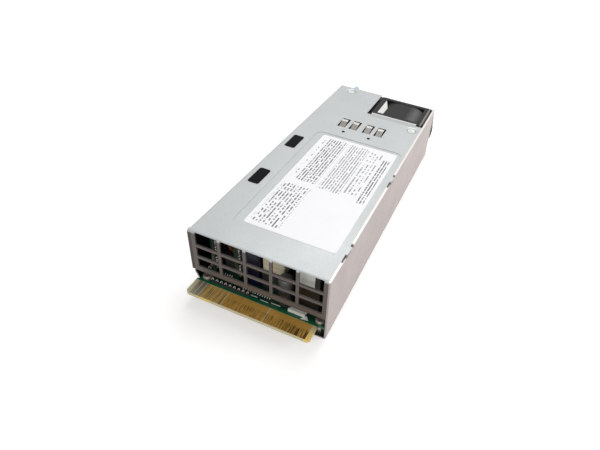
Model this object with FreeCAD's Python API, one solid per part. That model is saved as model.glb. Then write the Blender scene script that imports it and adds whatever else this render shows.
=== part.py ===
import FreeCAD, Part
import math
import os

# Hot swap server power supply, all sizes in millimetres.
# +Z is up, +Y points to the front panel, -Y to the card edge, and the origin is the
# centre of the underside of the enclosure.

V = FreeCAD.Vector
os.makedirs("parts", exist_ok=True)

# Enclosure and sheet metal
case_width = 73.5
case_height = 40.0
case_length = 185.0
chassis_wall = 1.0
cover_wall = 0.8
panel_wall = 1.0
shelf_depth = 15.0
foot_depth = 9.0
flange_inset = 0.6
flange_fan_gap = 2.0
panel_screw_inset = 6.0
panel_screw_depth = 4.5
sheet_gap = 0.05
bend_radius = 1.3
chassis_bend = 0.6
moving_gap = 0.3

# Rear grille, part of the cover sheet
grille_columns = 5
grille_bar = 1.6
grille_left_frame = 4.1
grille_right_frame = 2.95
grille_rail_drop = 25.5
grille_rail = 3.0
grille_row_drops = [16.1, 8.7]
grille_reach_in_bend = 0.4
grille_side_flange = 7.0
corner_relief = 0.6
lead_in_height = 14.0
side_flange_foot = 5.0
bump_radius = 1.5
bump_tip_radius = 0.9
bump_height = 0.45
bump_from_edge = 4.6
lead_in_depth = 3.0

# Label field in the cover
label_width = 49.0
label_length = 94.4
label_thickness = 0.12
label_corner = 1.6
label_centre_x = 7.05
label_from_rear = 17.3
recess_left = 4.9
recess_right = 2.5
recess_rear = 4.0
recess_front = 2.5
recess_corner = 4.2
recess_depth = 0.25

# Black film pads on the cover
pad_width = 6.7
pad_length = 14.5
pad_thickness = 0.15
pad_corner = 0.8
pad_from_left = 3.7
pad_from_rear = [46.1, 87.5]

# Sprung ground clips and their windows
clip_centres_x = [-8.25, 8.95]
finger_pitch = 8.0
window_width = 5.4
window_length = 11.6
window_from_rear = 126.3
finger_width = 3.9
clip_thickness = 0.35
clip_base_length = 6.4
clip_hole_radius = 1.05
clip_hole_to_window = 5.2
finger_rise = 0.95
finger_foot = 0.5
finger_slope_start = 1.2
finger_slope_end = 7.2
finger_crest_end = 8.8
finger_tip = 10.0
finger_tip_drop = 0.9
finger_tip_height = 0.8
clip_width = 12.8

# Interlock tabs between cover and right wall
hook_from_rear = [19.1, 83.2]
hook_length = 5.7
hook_slot_behind = 5.8
hook_slot_ahead = 2.2
hook_slot_depth = 1.6

# Flat head screws
screw_head_radius = 2.6
screw_head_depth = 0.8
screw_shank_radius = 1.5
screw_length = 3.4
thread_gap = 0.04
dimple_radius = 4.3
dimple_floor_radius = 3.1
dimple_depth = 0.35
head_sides = 24
left_screw_from_left = 10.8
left_screw_from_front = 6.2
right_screw_from_right = 6.4
right_screw_behind_fan = 10.1
screw_lip_width = 10.6
screw_lip_half_length = 5.0

# Fan
fan_cover_drop = 0.5
fan_depth = 28.0
fan_flange = 3.0
fan_corner = 1.6
fan_rim = 1.1
fan_duct_wall = 0.8
fan_duct_sides = 24
fan_hole_from_side = 3.5
fan_hole_radius = 1.5
fan_screw_head_radius = 2.4
fan_screw_head = 0.9
fan_post = 5.1
screw_in_fan = 7.0
fan_wall_gap = 0.25
hub_radius = 10.6
hub_wall = 1.2
hub_floor = 2.2
shaft_hold = 1.6
hub_length = 17.0
hub_sides = 12
blade_count = 7
blade_tip_gap = 0.7
blade_thickness = 1.0
blade_root_pitch = 40.0
blade_tip_pitch = 60.0
blade_root_chord = 12.5
blade_tip_chord = 13.5
motor_plate = 2.4
motor_plate_radius = 10.6
strut_width = 2.0
bearing_tube_radius = 3.4
bearing_radius = 2.6
bearing_length = 13.0
shaft_radius = 1.0
running_gap = 0.05
magnet_wall = 0.9
stator_radius = 7.6
stator_length = 8.0
stator_pole = 5.0
stator_clearance = 1.2
guard_bar = 1.3
guard_gauge = 1.2
guard_rings = [8.2, 14.0]
guard_eye_radius = 2.9
guard_sides = 20
cutout_lip_length = 2.8
cutout_lip_drop = 1.5
cutout_lip_left = 2.6
cutout_lip_right = 4.4
cutout_gap = 0.4

# Mains inlet
inlet_left_gap = 1.1
inlet_fan_gap = 3.3
inlet_height = 20.0
inlet_depth = 22.0
inlet_flange = 1.8
inlet_flange_margin = 0.9
inlet_side_wall = 1.3
inlet_end_wall = 1.8
inlet_socket_depth = 16.0
inlet_socket_chamfer = 4.6
inlet_centre_z = 15.6
blade_width = 4.0
blade_gauge = 2.0
blade_pitch = 14.0
blade_offset = 2.0
blade_setback = 1.2
blade_chamfer = 0.45
tail_width = 2.0
tail_gauge = 0.8
tail_length = 4.5
tail_below = 1.2

# Latch
latch_gauge = 0.6
latch_height = 7.0
latch_below_top = 7.8
latch_pivot_from_front = 42.5
latch_heel = 2.6
latch_tooth_from_front = 18.5
latch_tooth_length = 8.0
latch_tooth_out = 1.8
latch_tooth_flat = 1.6
latch_jog_start = 8.5
latch_jog_end = 2.6
latch_neck_from_left = 9.0
latch_travel = 4.5
latch_slot_gap = 0.6
tab_width = 4.2
tab_height = 8.4
tab_reach = 11.0
tab_start = 1.6
tab_round = 1.9
tab_past_latch = 2.4
keeper_gauge = 0.6
keeper_length = 3.6
keeper_leg = 1.8
keeper_lug = 1.6

# Folding handle
bail_pivot_out = 3.2
bail_pivot_below_top = 10.0
bail_arm = 2.0
bail_arm_radius = 2.5
bail_side_gap = 0.5
bail_grip_out = 8.5
bail_grip_drop = 13.5
bail_grip_depth = 8.6
bail_grip_height = 9.6
bail_grip_round = 3.0
bail_pin_radius = 1.2
pin_cap_margin = 0.9
pin_cap = 0.5
ear_gauge = 1.0
ear_radius = 2.6
ear_corner = 1.5

# Status light
light_radius = 1.5
light_from_fan = 9.0
light_below_top = 7.5
light_length = 9.0
light_proud = 0.8

# Main circuit board with its card edge
board_thickness = 1.6
board_underside = 5.8
board_margin = 0.6
tongue_width = 67.5
tongue_centre_x = -1.55
tongue_reach = 9.6
tongue_chamfer = 0.5
tongue_corner = 1.6
contact_pitch = 2.54
contact_width = 1.9
contact_gap = 0.64
contact_thickness = 0.08
contact_length = 8.6
contact_setback = 0.7
signal_contacts = 7
power_contacts = 9
board_behind_fan = 5.5
board_behind_inlet = 1.5
board_step_gap = 1.5
board_screw_radius = 1.5
board_screw_head_radius = 2.6
board_screw_head = 1.5
board_screw_from_side = 3.2
board_screw_reach = 5.0
board_screw_from_rear = 3.8
front_post_setback = 3.5
standoff_radius = 2.6
film_thickness = 0.3

# Parts on the board
daughter_thickness = 1.6
lead_gap = 0.05
daughter_left_x = -29.0
daughter_right_x = -15.6
daughter_from_rear = 6.7
daughter_left_length = 46.0
daughter_right_length = 40.0
daughter_height = 26.0
chip_length = 9.0
chip_height = 7.0
chip_depth = 1.8
chip_gap = 4.0
chip_rows = [5.0, 16.0]
notch_length = 7.0
notch_height = 6.0
header_pins = 11
header_pitch = 2.0
header_pin = 0.6
header_height = 3.2
header_strip = 1.2
header_start_x = -26.6
header_from_rear = 2.2
sense_plug_x = 19.9
sense_plug_width = 9.0
sense_plug_depth = 2.6
sense_plug_height = 1.8
sense_plug_from_rear = 3.2
sense_slot_width = 1.0
sense_slot_floor = 0.8
small_can_radius = 3.7
small_can_height = 18.0
small_can_x = 11.9
small_can_from_rear = 6.5
output_choke_radius = 3.2
output_choke_wire = 1.3
output_choke_turns = 14
output_choke_x = -21.4
output_choke_from_rear = 15.0
output_choke_base_height = 11.0
output_choke_base_length = 7.0
film_cap_width = 7.0
film_cap_length = 11.0
film_cap_height = 24.0
film_cap_x = -7.9
film_cap_from_rear = 9.0
auxiliary_width = 12.4
auxiliary_length = 13.0
auxiliary_base_height = 11.5
auxiliary_height = 28.0
auxiliary_x = 2.4
auxiliary_from_rear = 11.0
foot_margin = 0.8
foot_height = 2.0
relay_width = 11.4
relay_length = 15.0
relay_height = 28.0
relay_x = 24.0
relay_from_rear = 6.4
relay_label_width = 8.2
relay_label_height = 9.0
relay_label_from_top = 2.6
relay_label_shift = 1.2
output_can_radius = 4.6
output_can_height = 18.0
output_can_pitch = 10.4
output_can_rows = 2
output_can_columns = 2
can_sides = 20
output_can_x = 19.4
output_can_from_rear = 30.0
sink_height = 27.0
sink_base = 2.0
sink_fin = 1.0
sink_fin_count = 6
output_sink_length = 26.0
output_sink_depth = 12.0
output_sink_x = -3.0
output_sink_from_rear = 27.0
transformer_width = 30.0
transformer_length = 27.0
transformer_height = 27.0
transformer_x = -2.0
transformer_from_rear = 60.0
core_end = 5.0
core_leg = 8.0
bulk_radius = 13.4
bulk_length = 44.0
bulk_x = 18.6
bulk_from_rear = 100.0
choke_radius = 9.0
choke_wire = 3.6
choke_turns = 18
choke_x = -18.5
choke_from_rear = 108.0
choke_base_height = 3.0
primary_sink_length = 44.0
primary_sink_depth = 7.0
primary_sink_x = -0.6
primary_sink_from_rear = 96.0
transistor_width = 10.0
transistor_height = 15.0
transistor_depth = 4.4
transistor_pitch = 13.0
transistor_lift = 6.0
lead_width = 1.0
lead_pitch = 2.54
lead_setback = 2.0
lead_gauge = 0.6
line_choke_radius = 6.2
line_choke_wire = 3.0
line_choke_turns = 16
line_choke_x = -18.5
line_choke_from_stop = 28.0
line_cap_width = 17.0
line_cap_length = 8.0
line_cap_height = 15.0
line_cap_x = -19.4
line_cap_from_stop = 15.5
fuse_radius = 2.6
fuse_length = 13.0
fuse_sides = 12
fuse_clip_inset = 0.6
fuse_clip_length = 1.8
fuse_clip_half = 1.2
fuse_x = -30.0
fuse_from_rear = 72.0

# Derived places
half_width = case_width / 2
left_x = -half_width
right_x = half_width
rear_y = -case_length / 2
front_y = case_length / 2
cover_under = case_height - cover_wall
wall_left_out = left_x + cover_wall + sheet_gap
inner_left = wall_left_out + chassis_wall
inner_right = right_x - chassis_wall
cover_right = inner_right - sheet_gap
panel_inner = front_y - panel_wall
shelf_top = cover_under - sheet_gap
left_wall_top = case_height - bend_radius - sheet_gap
board_top = board_underside + board_thickness
grille_low = case_height - grille_rail_drop
grille_rail_high = grille_low + grille_rail
fan_size = case_height - 2 * fan_cover_drop
fan_bore_radius = fan_size / 2 - fan_rim
fan_hole_pitch = fan_size - 2 * fan_hole_from_side
fan_front = panel_inner
fan_rear = fan_front - fan_depth
fan_right = inner_right - fan_wall_gap
fan_left = fan_right - fan_size
fan_x = (fan_left + fan_right) / 2
fan_z = case_height / 2
inlet_left = inner_left + inlet_left_gap
inlet_width = fan_left - inlet_fan_gap - inlet_left
inlet_x = inlet_left + inlet_width / 2
inlet_socket_width = inlet_width - 2 * inlet_side_wall
inlet_socket_height = inlet_height - 2 * inlet_end_wall
cutout_rear = fan_rear - cutout_lip_length - cutout_gap
cutout_left = fan_left - cutout_gap
lip_left = fan_left + cutout_lip_left
lip_right = fan_right - cutout_lip_right
left_screw_x = left_x + left_screw_from_left
left_screw_y = front_y - left_screw_from_front
right_screw_x = right_x - right_screw_from_right
right_screw_y = fan_rear - right_screw_behind_fan
pad_left = left_x + pad_from_left
board_left = inner_left + board_margin
board_right = inner_right - board_margin
board_stop_left = front_y - inlet_depth - board_behind_inlet
board_stop_right = fan_rear - board_behind_fan
board_screw_x = [board_left + board_screw_from_side, board_right - board_screw_from_side]
front_post_y = board_stop_right - front_post_setback
latch_left = inner_left + moving_gap
latch_centre_z = case_height - latch_below_top
latch_neck_x = left_x + latch_neck_from_left
latch_low = latch_centre_z - latch_height / 2
latch_high = latch_centre_z + latch_height / 2
latch_pivot_y = front_y - latch_pivot_from_front
tooth_y = front_y - latch_tooth_from_front
bail_left = fan_left
bail_right = right_x - bail_side_gap
bail_y = front_y + bail_pivot_out
bail_pivot_z = case_height - bail_pivot_below_top
bail_grip_z = bail_pivot_z - bail_grip_drop
light_x = fan_left - light_from_fan
light_z = case_height - light_below_top
grip_y = front_y + bail_grip_out


def box(x0, x1, y0, y1, z0, z1):
    return Part.makeBox(x1 - x0, y1 - y0, z1 - z0, V(x0, y0, z0))


def rod(radius, start, end):
    axis = end.sub(start)
    return Part.makeCylinder(radius, axis.Length, start, axis)


def prism(points, along):
    return Part.Face(Part.makePolygon(points + [points[0]])).extrude(along)


def fuse(first, *others):
    return first.fuse(list(others)).removeSplitter()


def edges_along(shape, axis, *places):
    """Straight edges parallel to axis that pass through one of the given places."""
    found = []
    for edge in shape.Edges:
        if len(edge.Vertexes) != 2:
            continue
        start, end = edge.Vertexes[0].Point, edge.Vertexes[1].Point
        run = end.sub(start)
        if run.Length < 1e-6 or run.cross(axis).Length > 1e-6 * run.Length:
            continue
        for place in places:
            offset = place.sub(start)
            if offset.sub(axis * offset.dot(axis)).Length < 1e-4:
                found.append(edge)
                break
    return found


def rounded_box(x0, x1, y0, y1, z0, z1, radius, axis=V(0, 0, 1)):
    """Box whose four edges along one axis are rounded."""
    block = box(x0, x1, y0, y1, z0, z1)
    corners = [V(x, y, z) for x in (x0, x1) for y in (y0, y1) for z in (z0, z1)]
    return block.makeFillet(radius, edges_along(block, axis, *corners))


def polygon_ring(radius, sides, centre, along_y):
    """Corners of a regular polygon whose flats touch the radius, square to Y or to Z."""
    corner = radius / math.cos(math.pi / sides)
    points = []
    for index in range(sides):
        turn = math.pi * (2 * index + 1) / sides
        u, w = corner * math.cos(turn), corner * math.sin(turn)
        points.append(centre.add(V(u, 0, w) if along_y else V(u, w, 0)))
    return points


def polygon_rod(radius, sides, start, end):
    """Regular prism along Y or Z whose flats touch the given radius."""
    run = end.sub(start)
    return prism(polygon_ring(radius, sides, start, abs(run.y) > abs(run.z)), run)


def octagon(radius, start, run):
    """Eight-sided shank or hole with its flats at the given radius."""
    return polygon_rod(radius, 8, start, start.add(run))


def frustum(wide, narrow, depth, place, up):
    """Countersunk head: a many-sided cone that narrows along -Z times up."""
    rings = [polygon_ring(wide, head_sides, place, False),
             polygon_ring(narrow, head_sides, place.add(V(0, 0, -up * depth)), False)]
    faces = [Part.Face(Part.makePolygon(ring + [ring[0]])) for ring in rings]
    for index in range(head_sides):
        after = (index + 1) % head_sides
        corners = [rings[0][index], rings[0][after], rings[1][after], rings[1][index]]
        faces.append(Part.Face(Part.makePolygon(corners + [corners[0]])))
    body = Part.Solid(Part.makeShell(faces))
    if body.Volume < 0:
        body.reverse()
    return body


def chamfered_box(x0, x1, y0, y1, z0, z1, size, axis=V(0, 0, 1)):
    """Box whose four edges along one axis are cut off at 45 degrees."""
    block = box(x0, x1, y0, y1, z0, z1)
    corners = [V(x, y, z) for x in (x0, x1) for y in (y0, y1) for z in (z0, z1)]
    return block.makeChamfer(size, edges_along(block, axis, *corners))


def bent_sheet(place, gauge, radius, flat, flange, along):
    """Square bend: place(u, w) maps the section, flat runs along u and flange along w."""
    inner = radius - gauge
    reach = math.sqrt(0.5)
    outer_mid = place(radius - radius * reach, radius - radius * reach)
    inner_mid = place(radius - inner * reach, radius - inner * reach)
    section = [
        Part.LineSegment(place(flat, 0), place(radius, 0)),
        Part.Arc(place(radius, 0), outer_mid, place(0, radius)),
        Part.LineSegment(place(0, radius), place(0, flange)),
        Part.LineSegment(place(0, flange), place(gauge, flange)),
        Part.LineSegment(place(gauge, flange), place(gauge, radius)),
        Part.Arc(place(gauge, radius), inner_mid, place(radius, gauge)),
        Part.LineSegment(place(radius, gauge), place(flat, gauge)),
        Part.LineSegment(place(flat, gauge), place(flat, 0)),
    ]
    wire = Part.Wire([segment.toShape() for segment in section])
    return Part.Face(wire).extrude(along)



def save(node, *solids):
    shape = solids[0] if len(solids) == 1 else Part.makeCompound(list(solids))
    shape.exportStep("parts/" + node + ".step")


def flat_head_screw(x, y, face_z, up, grow=0.0):
    """Countersunk screw whose head lies flush with face_z; up is +1 or -1 outwards."""
    place = V(x, y, face_z)
    axis = V(0, 0, -up)
    head = frustum(screw_head_radius + grow, screw_shank_radius + grow, screw_head_depth, place, up)
    inside = (screw_shank_radius + grow) * math.cos(math.pi / 8)
    reach = screw_length - screw_head_depth + grow
    return head.fuse(octagon(inside, place.add(axis * screw_head_depth), axis * reach))


def cover_screw_seat(x, y):
    """Shallow dimple, countersink and threaded hole for one of the cover screws."""
    dimple = frustum(dimple_radius, dimple_floor_radius, dimple_depth, V(x, y, case_height), 1)
    return dimple.fuse(flat_head_screw(x, y, case_height - dimple_depth, 1, thread_gap))


def pan_head_screw(x, y, seat_z, reach):
    """Screw standing on a board with its head above seat_z."""
    head = Part.makeCylinder(board_screw_head_radius, board_screw_head, V(x, y, seat_z))
    shank = octagon(board_screw_radius, V(x, y, seat_z - reach), V(0, 0, reach))
    return head.fuse(shank)


# ---------------------------------------------------------------- sheet metal

def base_chassis():
    """Floor and both side walls, folded from one sheet."""
    middle = (wall_left_out + right_x) / 2
    length = V(0, panel_inner - sheet_gap - rear_y, 0)

    def left(u, w):
        return V(wall_left_out + u, rear_y, w)

    def right(u, w):
        return V(right_x - u, rear_y, w)

    shell = fuse(
        bent_sheet(left, chassis_wall, chassis_wall + chassis_bend, middle - wall_left_out,
                   left_wall_top, length),
        bent_sheet(right, chassis_wall, chassis_wall + chassis_bend, right_x - middle, case_height,
                   length),
        box(wall_left_out, inner_left, panel_inner - 2, front_y, chassis_wall + 2, left_wall_top),
        box(inner_right, right_x, panel_inner - 2, front_y, chassis_wall + 2, case_height),
    )
    lip = box(inner_right - screw_lip_width, inner_right + 0.2, right_screw_y - screw_lip_half_length,
              right_screw_y + screw_lip_half_length, shelf_top - chassis_wall, shelf_top)
    bump = Part.makeCone(bump_radius, bump_tip_radius, bump_height,
                         V(right_x, fan_rear - bump_from_edge, bump_from_edge), V(1, 0, 0))
    shell = fuse(shell, lip, bump)

    cuts = [cover_screw_seat(right_screw_x, right_screw_y)]
    for start in hook_from_rear:
        y0 = rear_y + start
        cuts.append(box(inner_right - 0.1, right_x + 1, y0 - hook_slot_behind, y0 + hook_length + hook_slot_ahead,
                        case_height - hook_slot_depth, case_height + 1))
    cuts.append(box(cutout_left, inner_right, fan_rear - cutout_gap, front_y + 1, -1, chassis_wall + 0.1))
    cuts.append(prism([V(wall_left_out - 1, rear_y - 1, lead_in_height),
                       V(wall_left_out - 1, rear_y, lead_in_height),
                       V(wall_left_out - 1, rear_y + lead_in_depth, chassis_wall + 2),
                       V(wall_left_out - 1, rear_y - 1, chassis_wall + 2)], V(chassis_wall + 2, 0, 0)))
    cuts.append(box(wall_left_out - 1, inner_left + 1, rear_y - 1, rear_y + cover_wall + sheet_gap,
                    lead_in_height - 1, case_height))
    cuts.append(tooth_window(wall_left_out - 1, inner_left + 1))
    for x in panel_screw_places():
        cuts.append(flat_head_screw(x, panel_flange_y(), 0, -1, thread_gap))
    return shell.cut(cuts).removeSplitter()


def tooth_window(x0, x1):
    return box(x0, x1, tooth_y - latch_tooth_length - latch_slot_gap, tooth_y + 2 * latch_slot_gap,
               latch_low - latch_slot_gap, latch_high + latch_slot_gap)


def panel_screw_places():
    return [inner_left + panel_screw_inset, fan_left - panel_screw_inset]


def panel_flange_y():
    return panel_inner - panel_screw_depth


def top_cover():
    """Top sheet with the left skin and the rear grille folded down from it."""
    flat_start = left_x + bend_radius
    length = front_y - rear_y - bend_radius

    def left(u, w):
        return V(left_x + u, rear_y + bend_radius, case_height - w)

    def rear(u, w):
        return V(left_x, rear_y + u, case_height - w)

    skin = bent_sheet(left, cover_wall, bend_radius, bend_radius + 1, case_height - 2.0, V(0, length, 0))
    face = bent_sheet(rear, cover_wall, bend_radius, bend_radius + 1,
                      grille_rail_drop, V(cover_right - left_x, 0, 0))
    top = box(flat_start, cover_right, rear_y + bend_radius, front_y, cover_under, case_height)
    side = box(cover_right - cover_wall, cover_right, rear_y, rear_y + grille_side_flange,
               lead_in_height + side_flange_foot, cover_under)
    parts = [face, top, side]
    for start in hook_from_rear:
        y0 = rear_y + start
        parts.append(box(cover_right - 1, right_x, y0, y0 + hook_length, cover_under, case_height))
    parts.append(fan_lip())
    cover = fuse(skin, *parts)

    cuts = [
        box(left_x - 1, left_x + bend_radius + 0.2, rear_y + cover_wall,
            rear_y + bend_radius + corner_relief, -1, cover_under),
        box(cutout_left, right_x, cutout_rear + cutout_lip_length, front_y + 1, cover_under - 1,
            case_height + 1),
        box(cutout_left, lip_left, cutout_rear, front_y + 1, cover_under - 1, case_height + 1),
        box(lip_right, right_x, cutout_rear, front_y + 1, cover_under - 1, case_height + 1),
        tooth_window(left_x - 1, wall_left_out),
        prism([V(left_x - 1, rear_y - 1, lead_in_height + 0.1),
               V(left_x - 1, rear_y + bend_radius, lead_in_height),
               V(left_x - 1, rear_y + bend_radius + lead_in_depth, 1), V(left_x - 1, rear_y - 1, 1)],
              V(cover_wall + 1.02, 0, 0)),
    ]
    cuts += grille_openings() + clip_windows() + [label_recess()]
    for x, y in ((left_screw_x, left_screw_y), (right_screw_x, right_screw_y)):
        cuts.append(cover_screw_seat(x, y))
    return cover.cut(cuts).removeSplitter()


def fan_lip():
    """Short ramp that the cover sheet takes down to the fan."""
    y0, y1 = cutout_rear, cutout_rear + cutout_lip_length
    drop = cutout_lip_drop
    return prism([V(lip_left, y0 - 0.5, cover_under), V(lip_left, y0 - 0.5, case_height),
                  V(lip_left, y0, case_height),
                  V(lip_left, y1, case_height - drop), V(lip_left, y1, cover_under - drop),
                  V(lip_left, y0, cover_under)], V(lip_right - lip_left, 0, 0))


def grille_openings():
    """Rows and columns of openings that reach up into the bend of the sheet."""
    first = left_x + grille_left_frame
    last = right_x - grille_right_frame
    pitch = (last - first + grille_bar) / grille_columns
    bars = [case_height - drop for drop in grille_row_drops]
    lows = [grille_rail_high] + [z + grille_bar / 2 for z in bars]
    highs = [z - grille_bar / 2 for z in bars] + [case_height - grille_reach_in_bend]
    openings = []
    for column in range(grille_columns):
        x0 = first + column * pitch
        x1 = x0 + pitch - grille_bar
        for low, high in zip(lows, highs):
            openings.append(box(x0, x1, rear_y - 1, rear_y + bend_radius, low, high))
    return openings


def window_lefts():
    return [centre + side * finger_pitch / 2 - window_width / 2
            for centre in clip_centres_x for side in (-1, 1)]


def clip_windows():
    y0 = rear_y + window_from_rear
    cuts = [box(x0, x0 + window_width, y0, y0 + window_length, cover_under - 1, case_height + 1)
            for x0 in window_lefts()]
    for centre in clip_centres_x:
        cuts.append(octagon(clip_hole_radius, V(centre, y0 - clip_hole_to_window, cover_under - 2),
                            V(0, 0, 4)))
    return cuts


def label_recess():
    x0, x1 = label_centre_x - label_width / 2 - recess_left, label_centre_x + label_width / 2 + recess_right
    y0 = rear_y + label_from_rear - recess_rear
    y1 = rear_y + label_from_rear + label_length + recess_front
    return rounded_box(x0, x1, y0, y1, case_height - recess_depth, case_height + 1, recess_corner)


def rating_label():
    x0, y0 = label_centre_x - label_width / 2, rear_y + label_from_rear
    floor = case_height - recess_depth
    return rounded_box(x0, x0 + label_width, y0, y0 + label_length, floor, floor + label_thickness,
                       label_corner)


def cover_pads():
    pads = []
    for start in pad_from_rear:
        y0 = rear_y + start
        pads.append(chamfered_box(pad_left, pad_left + pad_width, y0, y0 + pad_length,
                                  case_height, case_height + pad_thickness, pad_corner))
    return pads


def ground_clip(centre):
    """Clip under the cover with two fingers that arch up through their windows."""
    top = cover_under - moving_gap
    low = top - clip_thickness
    window_y = rear_y + window_from_rear
    base = box(centre - clip_width / 2, centre + clip_width / 2, window_y - clip_base_length,
               window_y + finger_slope_start - 0.3, low, top)
    crest = case_height + finger_rise
    slope_start, slope_end = window_y + finger_slope_start, window_y + finger_slope_end
    crest_end, tip = window_y + finger_crest_end, window_y + finger_tip
    tip_top, tip_low = crest - finger_tip_drop, crest - finger_tip_drop - finger_tip_height
    outline = [V(0, window_y + finger_foot, low), V(0, window_y + finger_foot, top),
               V(0, slope_start, top),
               V(0, slope_end, crest), V(0, crest_end, crest), V(0, tip, tip_top), V(0, tip, tip_low),
               V(0, tip - clip_thickness, tip_low), V(0, tip - clip_thickness, tip_top),
               V(0, crest_end, crest - clip_thickness), V(0, slope_end, crest - clip_thickness),
               V(0, slope_start + 0.2, low)]
    fingers = []
    for side in (-1, 1):
        x0 = centre + side * finger_pitch / 2 - finger_width / 2
        moved = [point.add(V(x0, 0, 0)) for point in outline]
        fingers.append(prism(moved, V(finger_width, 0, 0)))
    return fuse(base, *fingers)


def front_panel():
    """Front sheet with flanges for its screws and the fan, and the two handle ears."""
    plate_left = inner_left + sheet_gap
    plate_right = inner_right - sheet_gap
    plate = box(plate_left, plate_right, panel_inner, front_y, sheet_gap, shelf_top)
    shelf = box(plate_left + flange_inset, fan_left - flange_fan_gap, front_y - shelf_depth, front_y,
                shelf_top - panel_wall, shelf_top)
    foot_z = chassis_wall + sheet_gap
    foot = box(plate_left + flange_inset, fan_left - flange_fan_gap, panel_inner - foot_depth, front_y,
               foot_z, foot_z + panel_wall)
    parts = [shelf, foot]
    for x0 in ear_places():
        low, high, tip = bail_pivot_z - ear_radius, bail_pivot_z + ear_radius, bail_y + ear_radius
        parts.append(prism([V(x0, panel_inner, low), V(x0, tip - ear_corner, low),
                            V(x0, tip, low + ear_corner),
                            V(x0, tip, high - ear_corner), V(x0, tip - ear_corner, high),
                            V(x0, panel_inner, high)], V(ear_gauge, 0, 0)))
    panel = fuse(plate, *parts)

    through = V(0, 1, 0)
    start_y = panel_inner - 1
    depth = panel_wall + 2
    cuts = [
        Part.makeCylinder(fan_bore_radius, depth, V(fan_x, start_y, fan_z), through),
        box(inlet_x - inlet_width / 2 - 0.1, inlet_x + inlet_width / 2 + 0.1, start_y, start_y + depth,
            inlet_centre_z - inlet_height / 2 - 0.1, inlet_centre_z + inlet_height / 2 + 0.1),
        Part.makeCylinder(light_radius, depth, V(light_x, start_y, light_z), through),
        cover_screw_seat(left_screw_x, left_screw_y),
        latch_slot(start_y, start_y + depth),
    ]
    for x, z in fan_holes():
        cuts.append(octagon(fan_hole_radius + sheet_gap, V(x, start_y, z), V(0, depth, 0)))
    for x in panel_screw_places():
        cuts.append(flat_head_screw(x, panel_flange_y(), 0, -1, thread_gap))
    for x0 in ear_places():
        cuts.append(rod(bail_pin_radius, V(x0 - 1, bail_y, bail_pivot_z),
                        V(x0 + ear_gauge + 1, bail_y, bail_pivot_z)))
    return panel.cut(cuts).removeSplitter()


def ear_places():
    """Inner faces of the two arms, where the ears stand."""
    return [bail_left + bail_arm + moving_gap, bail_right - bail_arm - moving_gap - ear_gauge]


def fan_holes():
    half = fan_hole_pitch / 2
    return [(fan_x + sx * half, fan_z + sz * half) for sx in (-1, 1) for sz in (-1, 1)]


def latch_slot(y0, y1):
    swing = (front_y - latch_pivot_y) * math.sin(math.radians(latch_travel))
    return box(latch_neck_x - latch_gauge / 2 - latch_slot_gap,
               latch_neck_x + latch_gauge / 2 + swing + latch_slot_gap,
               y0, y1, latch_low - latch_slot_gap, latch_high + latch_slot_gap)


def cover_screws():
    face_z = case_height - dimple_depth
    return [flat_head_screw(left_screw_x, left_screw_y, face_z, 1),
            flat_head_screw(right_screw_x, right_screw_y, face_z, 1)]


def panel_screws():
    return [flat_head_screw(x, panel_flange_y(), 0, -1) for x in panel_screw_places()]


# ---------------------------------------------------------------- fan

def fan_plate(y0, depth):
    x0, z0 = fan_x - fan_size / 2, fan_z - fan_size / 2
    return chamfered_box(x0, x0 + fan_size, y0, y0 + depth, z0, z0 + fan_size, fan_corner, V(0, 1, 0))


def fan_frame():
    """Two square flanges, the duct between them, corner posts and the motor mount."""
    along = V(0, 1, 0)
    rear, front = V(fan_x, fan_rear, fan_z), V(fan_x, fan_front, fan_z)
    parts = [fan_plate(fan_front - fan_flange, fan_flange)]
    parts.append(polygon_rod(fan_bore_radius + fan_duct_wall, fan_duct_sides, rear, front))
    inner, outer = fan_size / 2 - fan_post, fan_size / 2
    for sx in (-1, 1):
        for sz in (-1, 1):
            x0, x1 = sorted((fan_x + sx * inner, fan_x + sx * outer))
            z0, z1 = sorted((fan_z + sz * inner, fan_z + sz * outer))
            parts.append(box(x0, x1, fan_rear, fan_front, z0, z1))
    body = fuse(fan_plate(fan_rear, fan_flange), *parts).common(fan_plate(fan_rear, fan_depth))
    body = body.cut(Part.makeCylinder(fan_bore_radius, fan_depth + 2, V(fan_x, fan_rear - 1, fan_z),
                                      along))

    plate_y = fan_front - motor_plate
    mount = [Part.makeCylinder(motor_plate_radius, motor_plate, V(fan_x, plate_y, fan_z), along)]
    for quarter in range(4):
        strut = box(fan_x + motor_plate_radius - 1, fan_x + fan_bore_radius + 0.5, plate_y, fan_front,
                    fan_z - strut_width / 2, fan_z + strut_width / 2)
        strut.rotate(V(fan_x, 0, fan_z), along, 45 + 90 * quarter)
        mount.append(strut)
    tube_start = V(fan_x, plate_y - bearing_length, fan_z)
    mount.append(polygon_rod(bearing_tube_radius, 8, tube_start, front))
    body = fuse(body, *mount)
    cuts = [polygon_rod(bearing_radius, 8, tube_start, V(fan_x, plate_y, fan_z))]
    for x, z in fan_holes():
        cuts.append(octagon(fan_hole_radius, V(x, fan_front - screw_in_fan, z),
                            V(0, screw_in_fan + 1, 0)))
    return body.cut(cuts).removeSplitter()


def fan_bearing():
    """Eight-sided sleeve bearing that can't turn in the tube of the frame."""
    plate_y = fan_front - motor_plate
    start, end = V(fan_x, plate_y - bearing_length, fan_z), V(fan_x, plate_y, fan_z)
    return polygon_rod(bearing_radius, 8, start, end).cut(rod(shaft_radius + running_gap, start, end))


def hub_front():
    return fan_front - motor_plate - moving_gap * 2


def fan_shaft():
    y0 = hub_front() - hub_length + hub_floor - shaft_hold
    y1 = fan_front - motor_plate - 0.1
    return Part.makeCylinder(shaft_radius, y1 - y0, V(fan_x, y0, fan_z), V(0, 1, 0))


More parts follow.
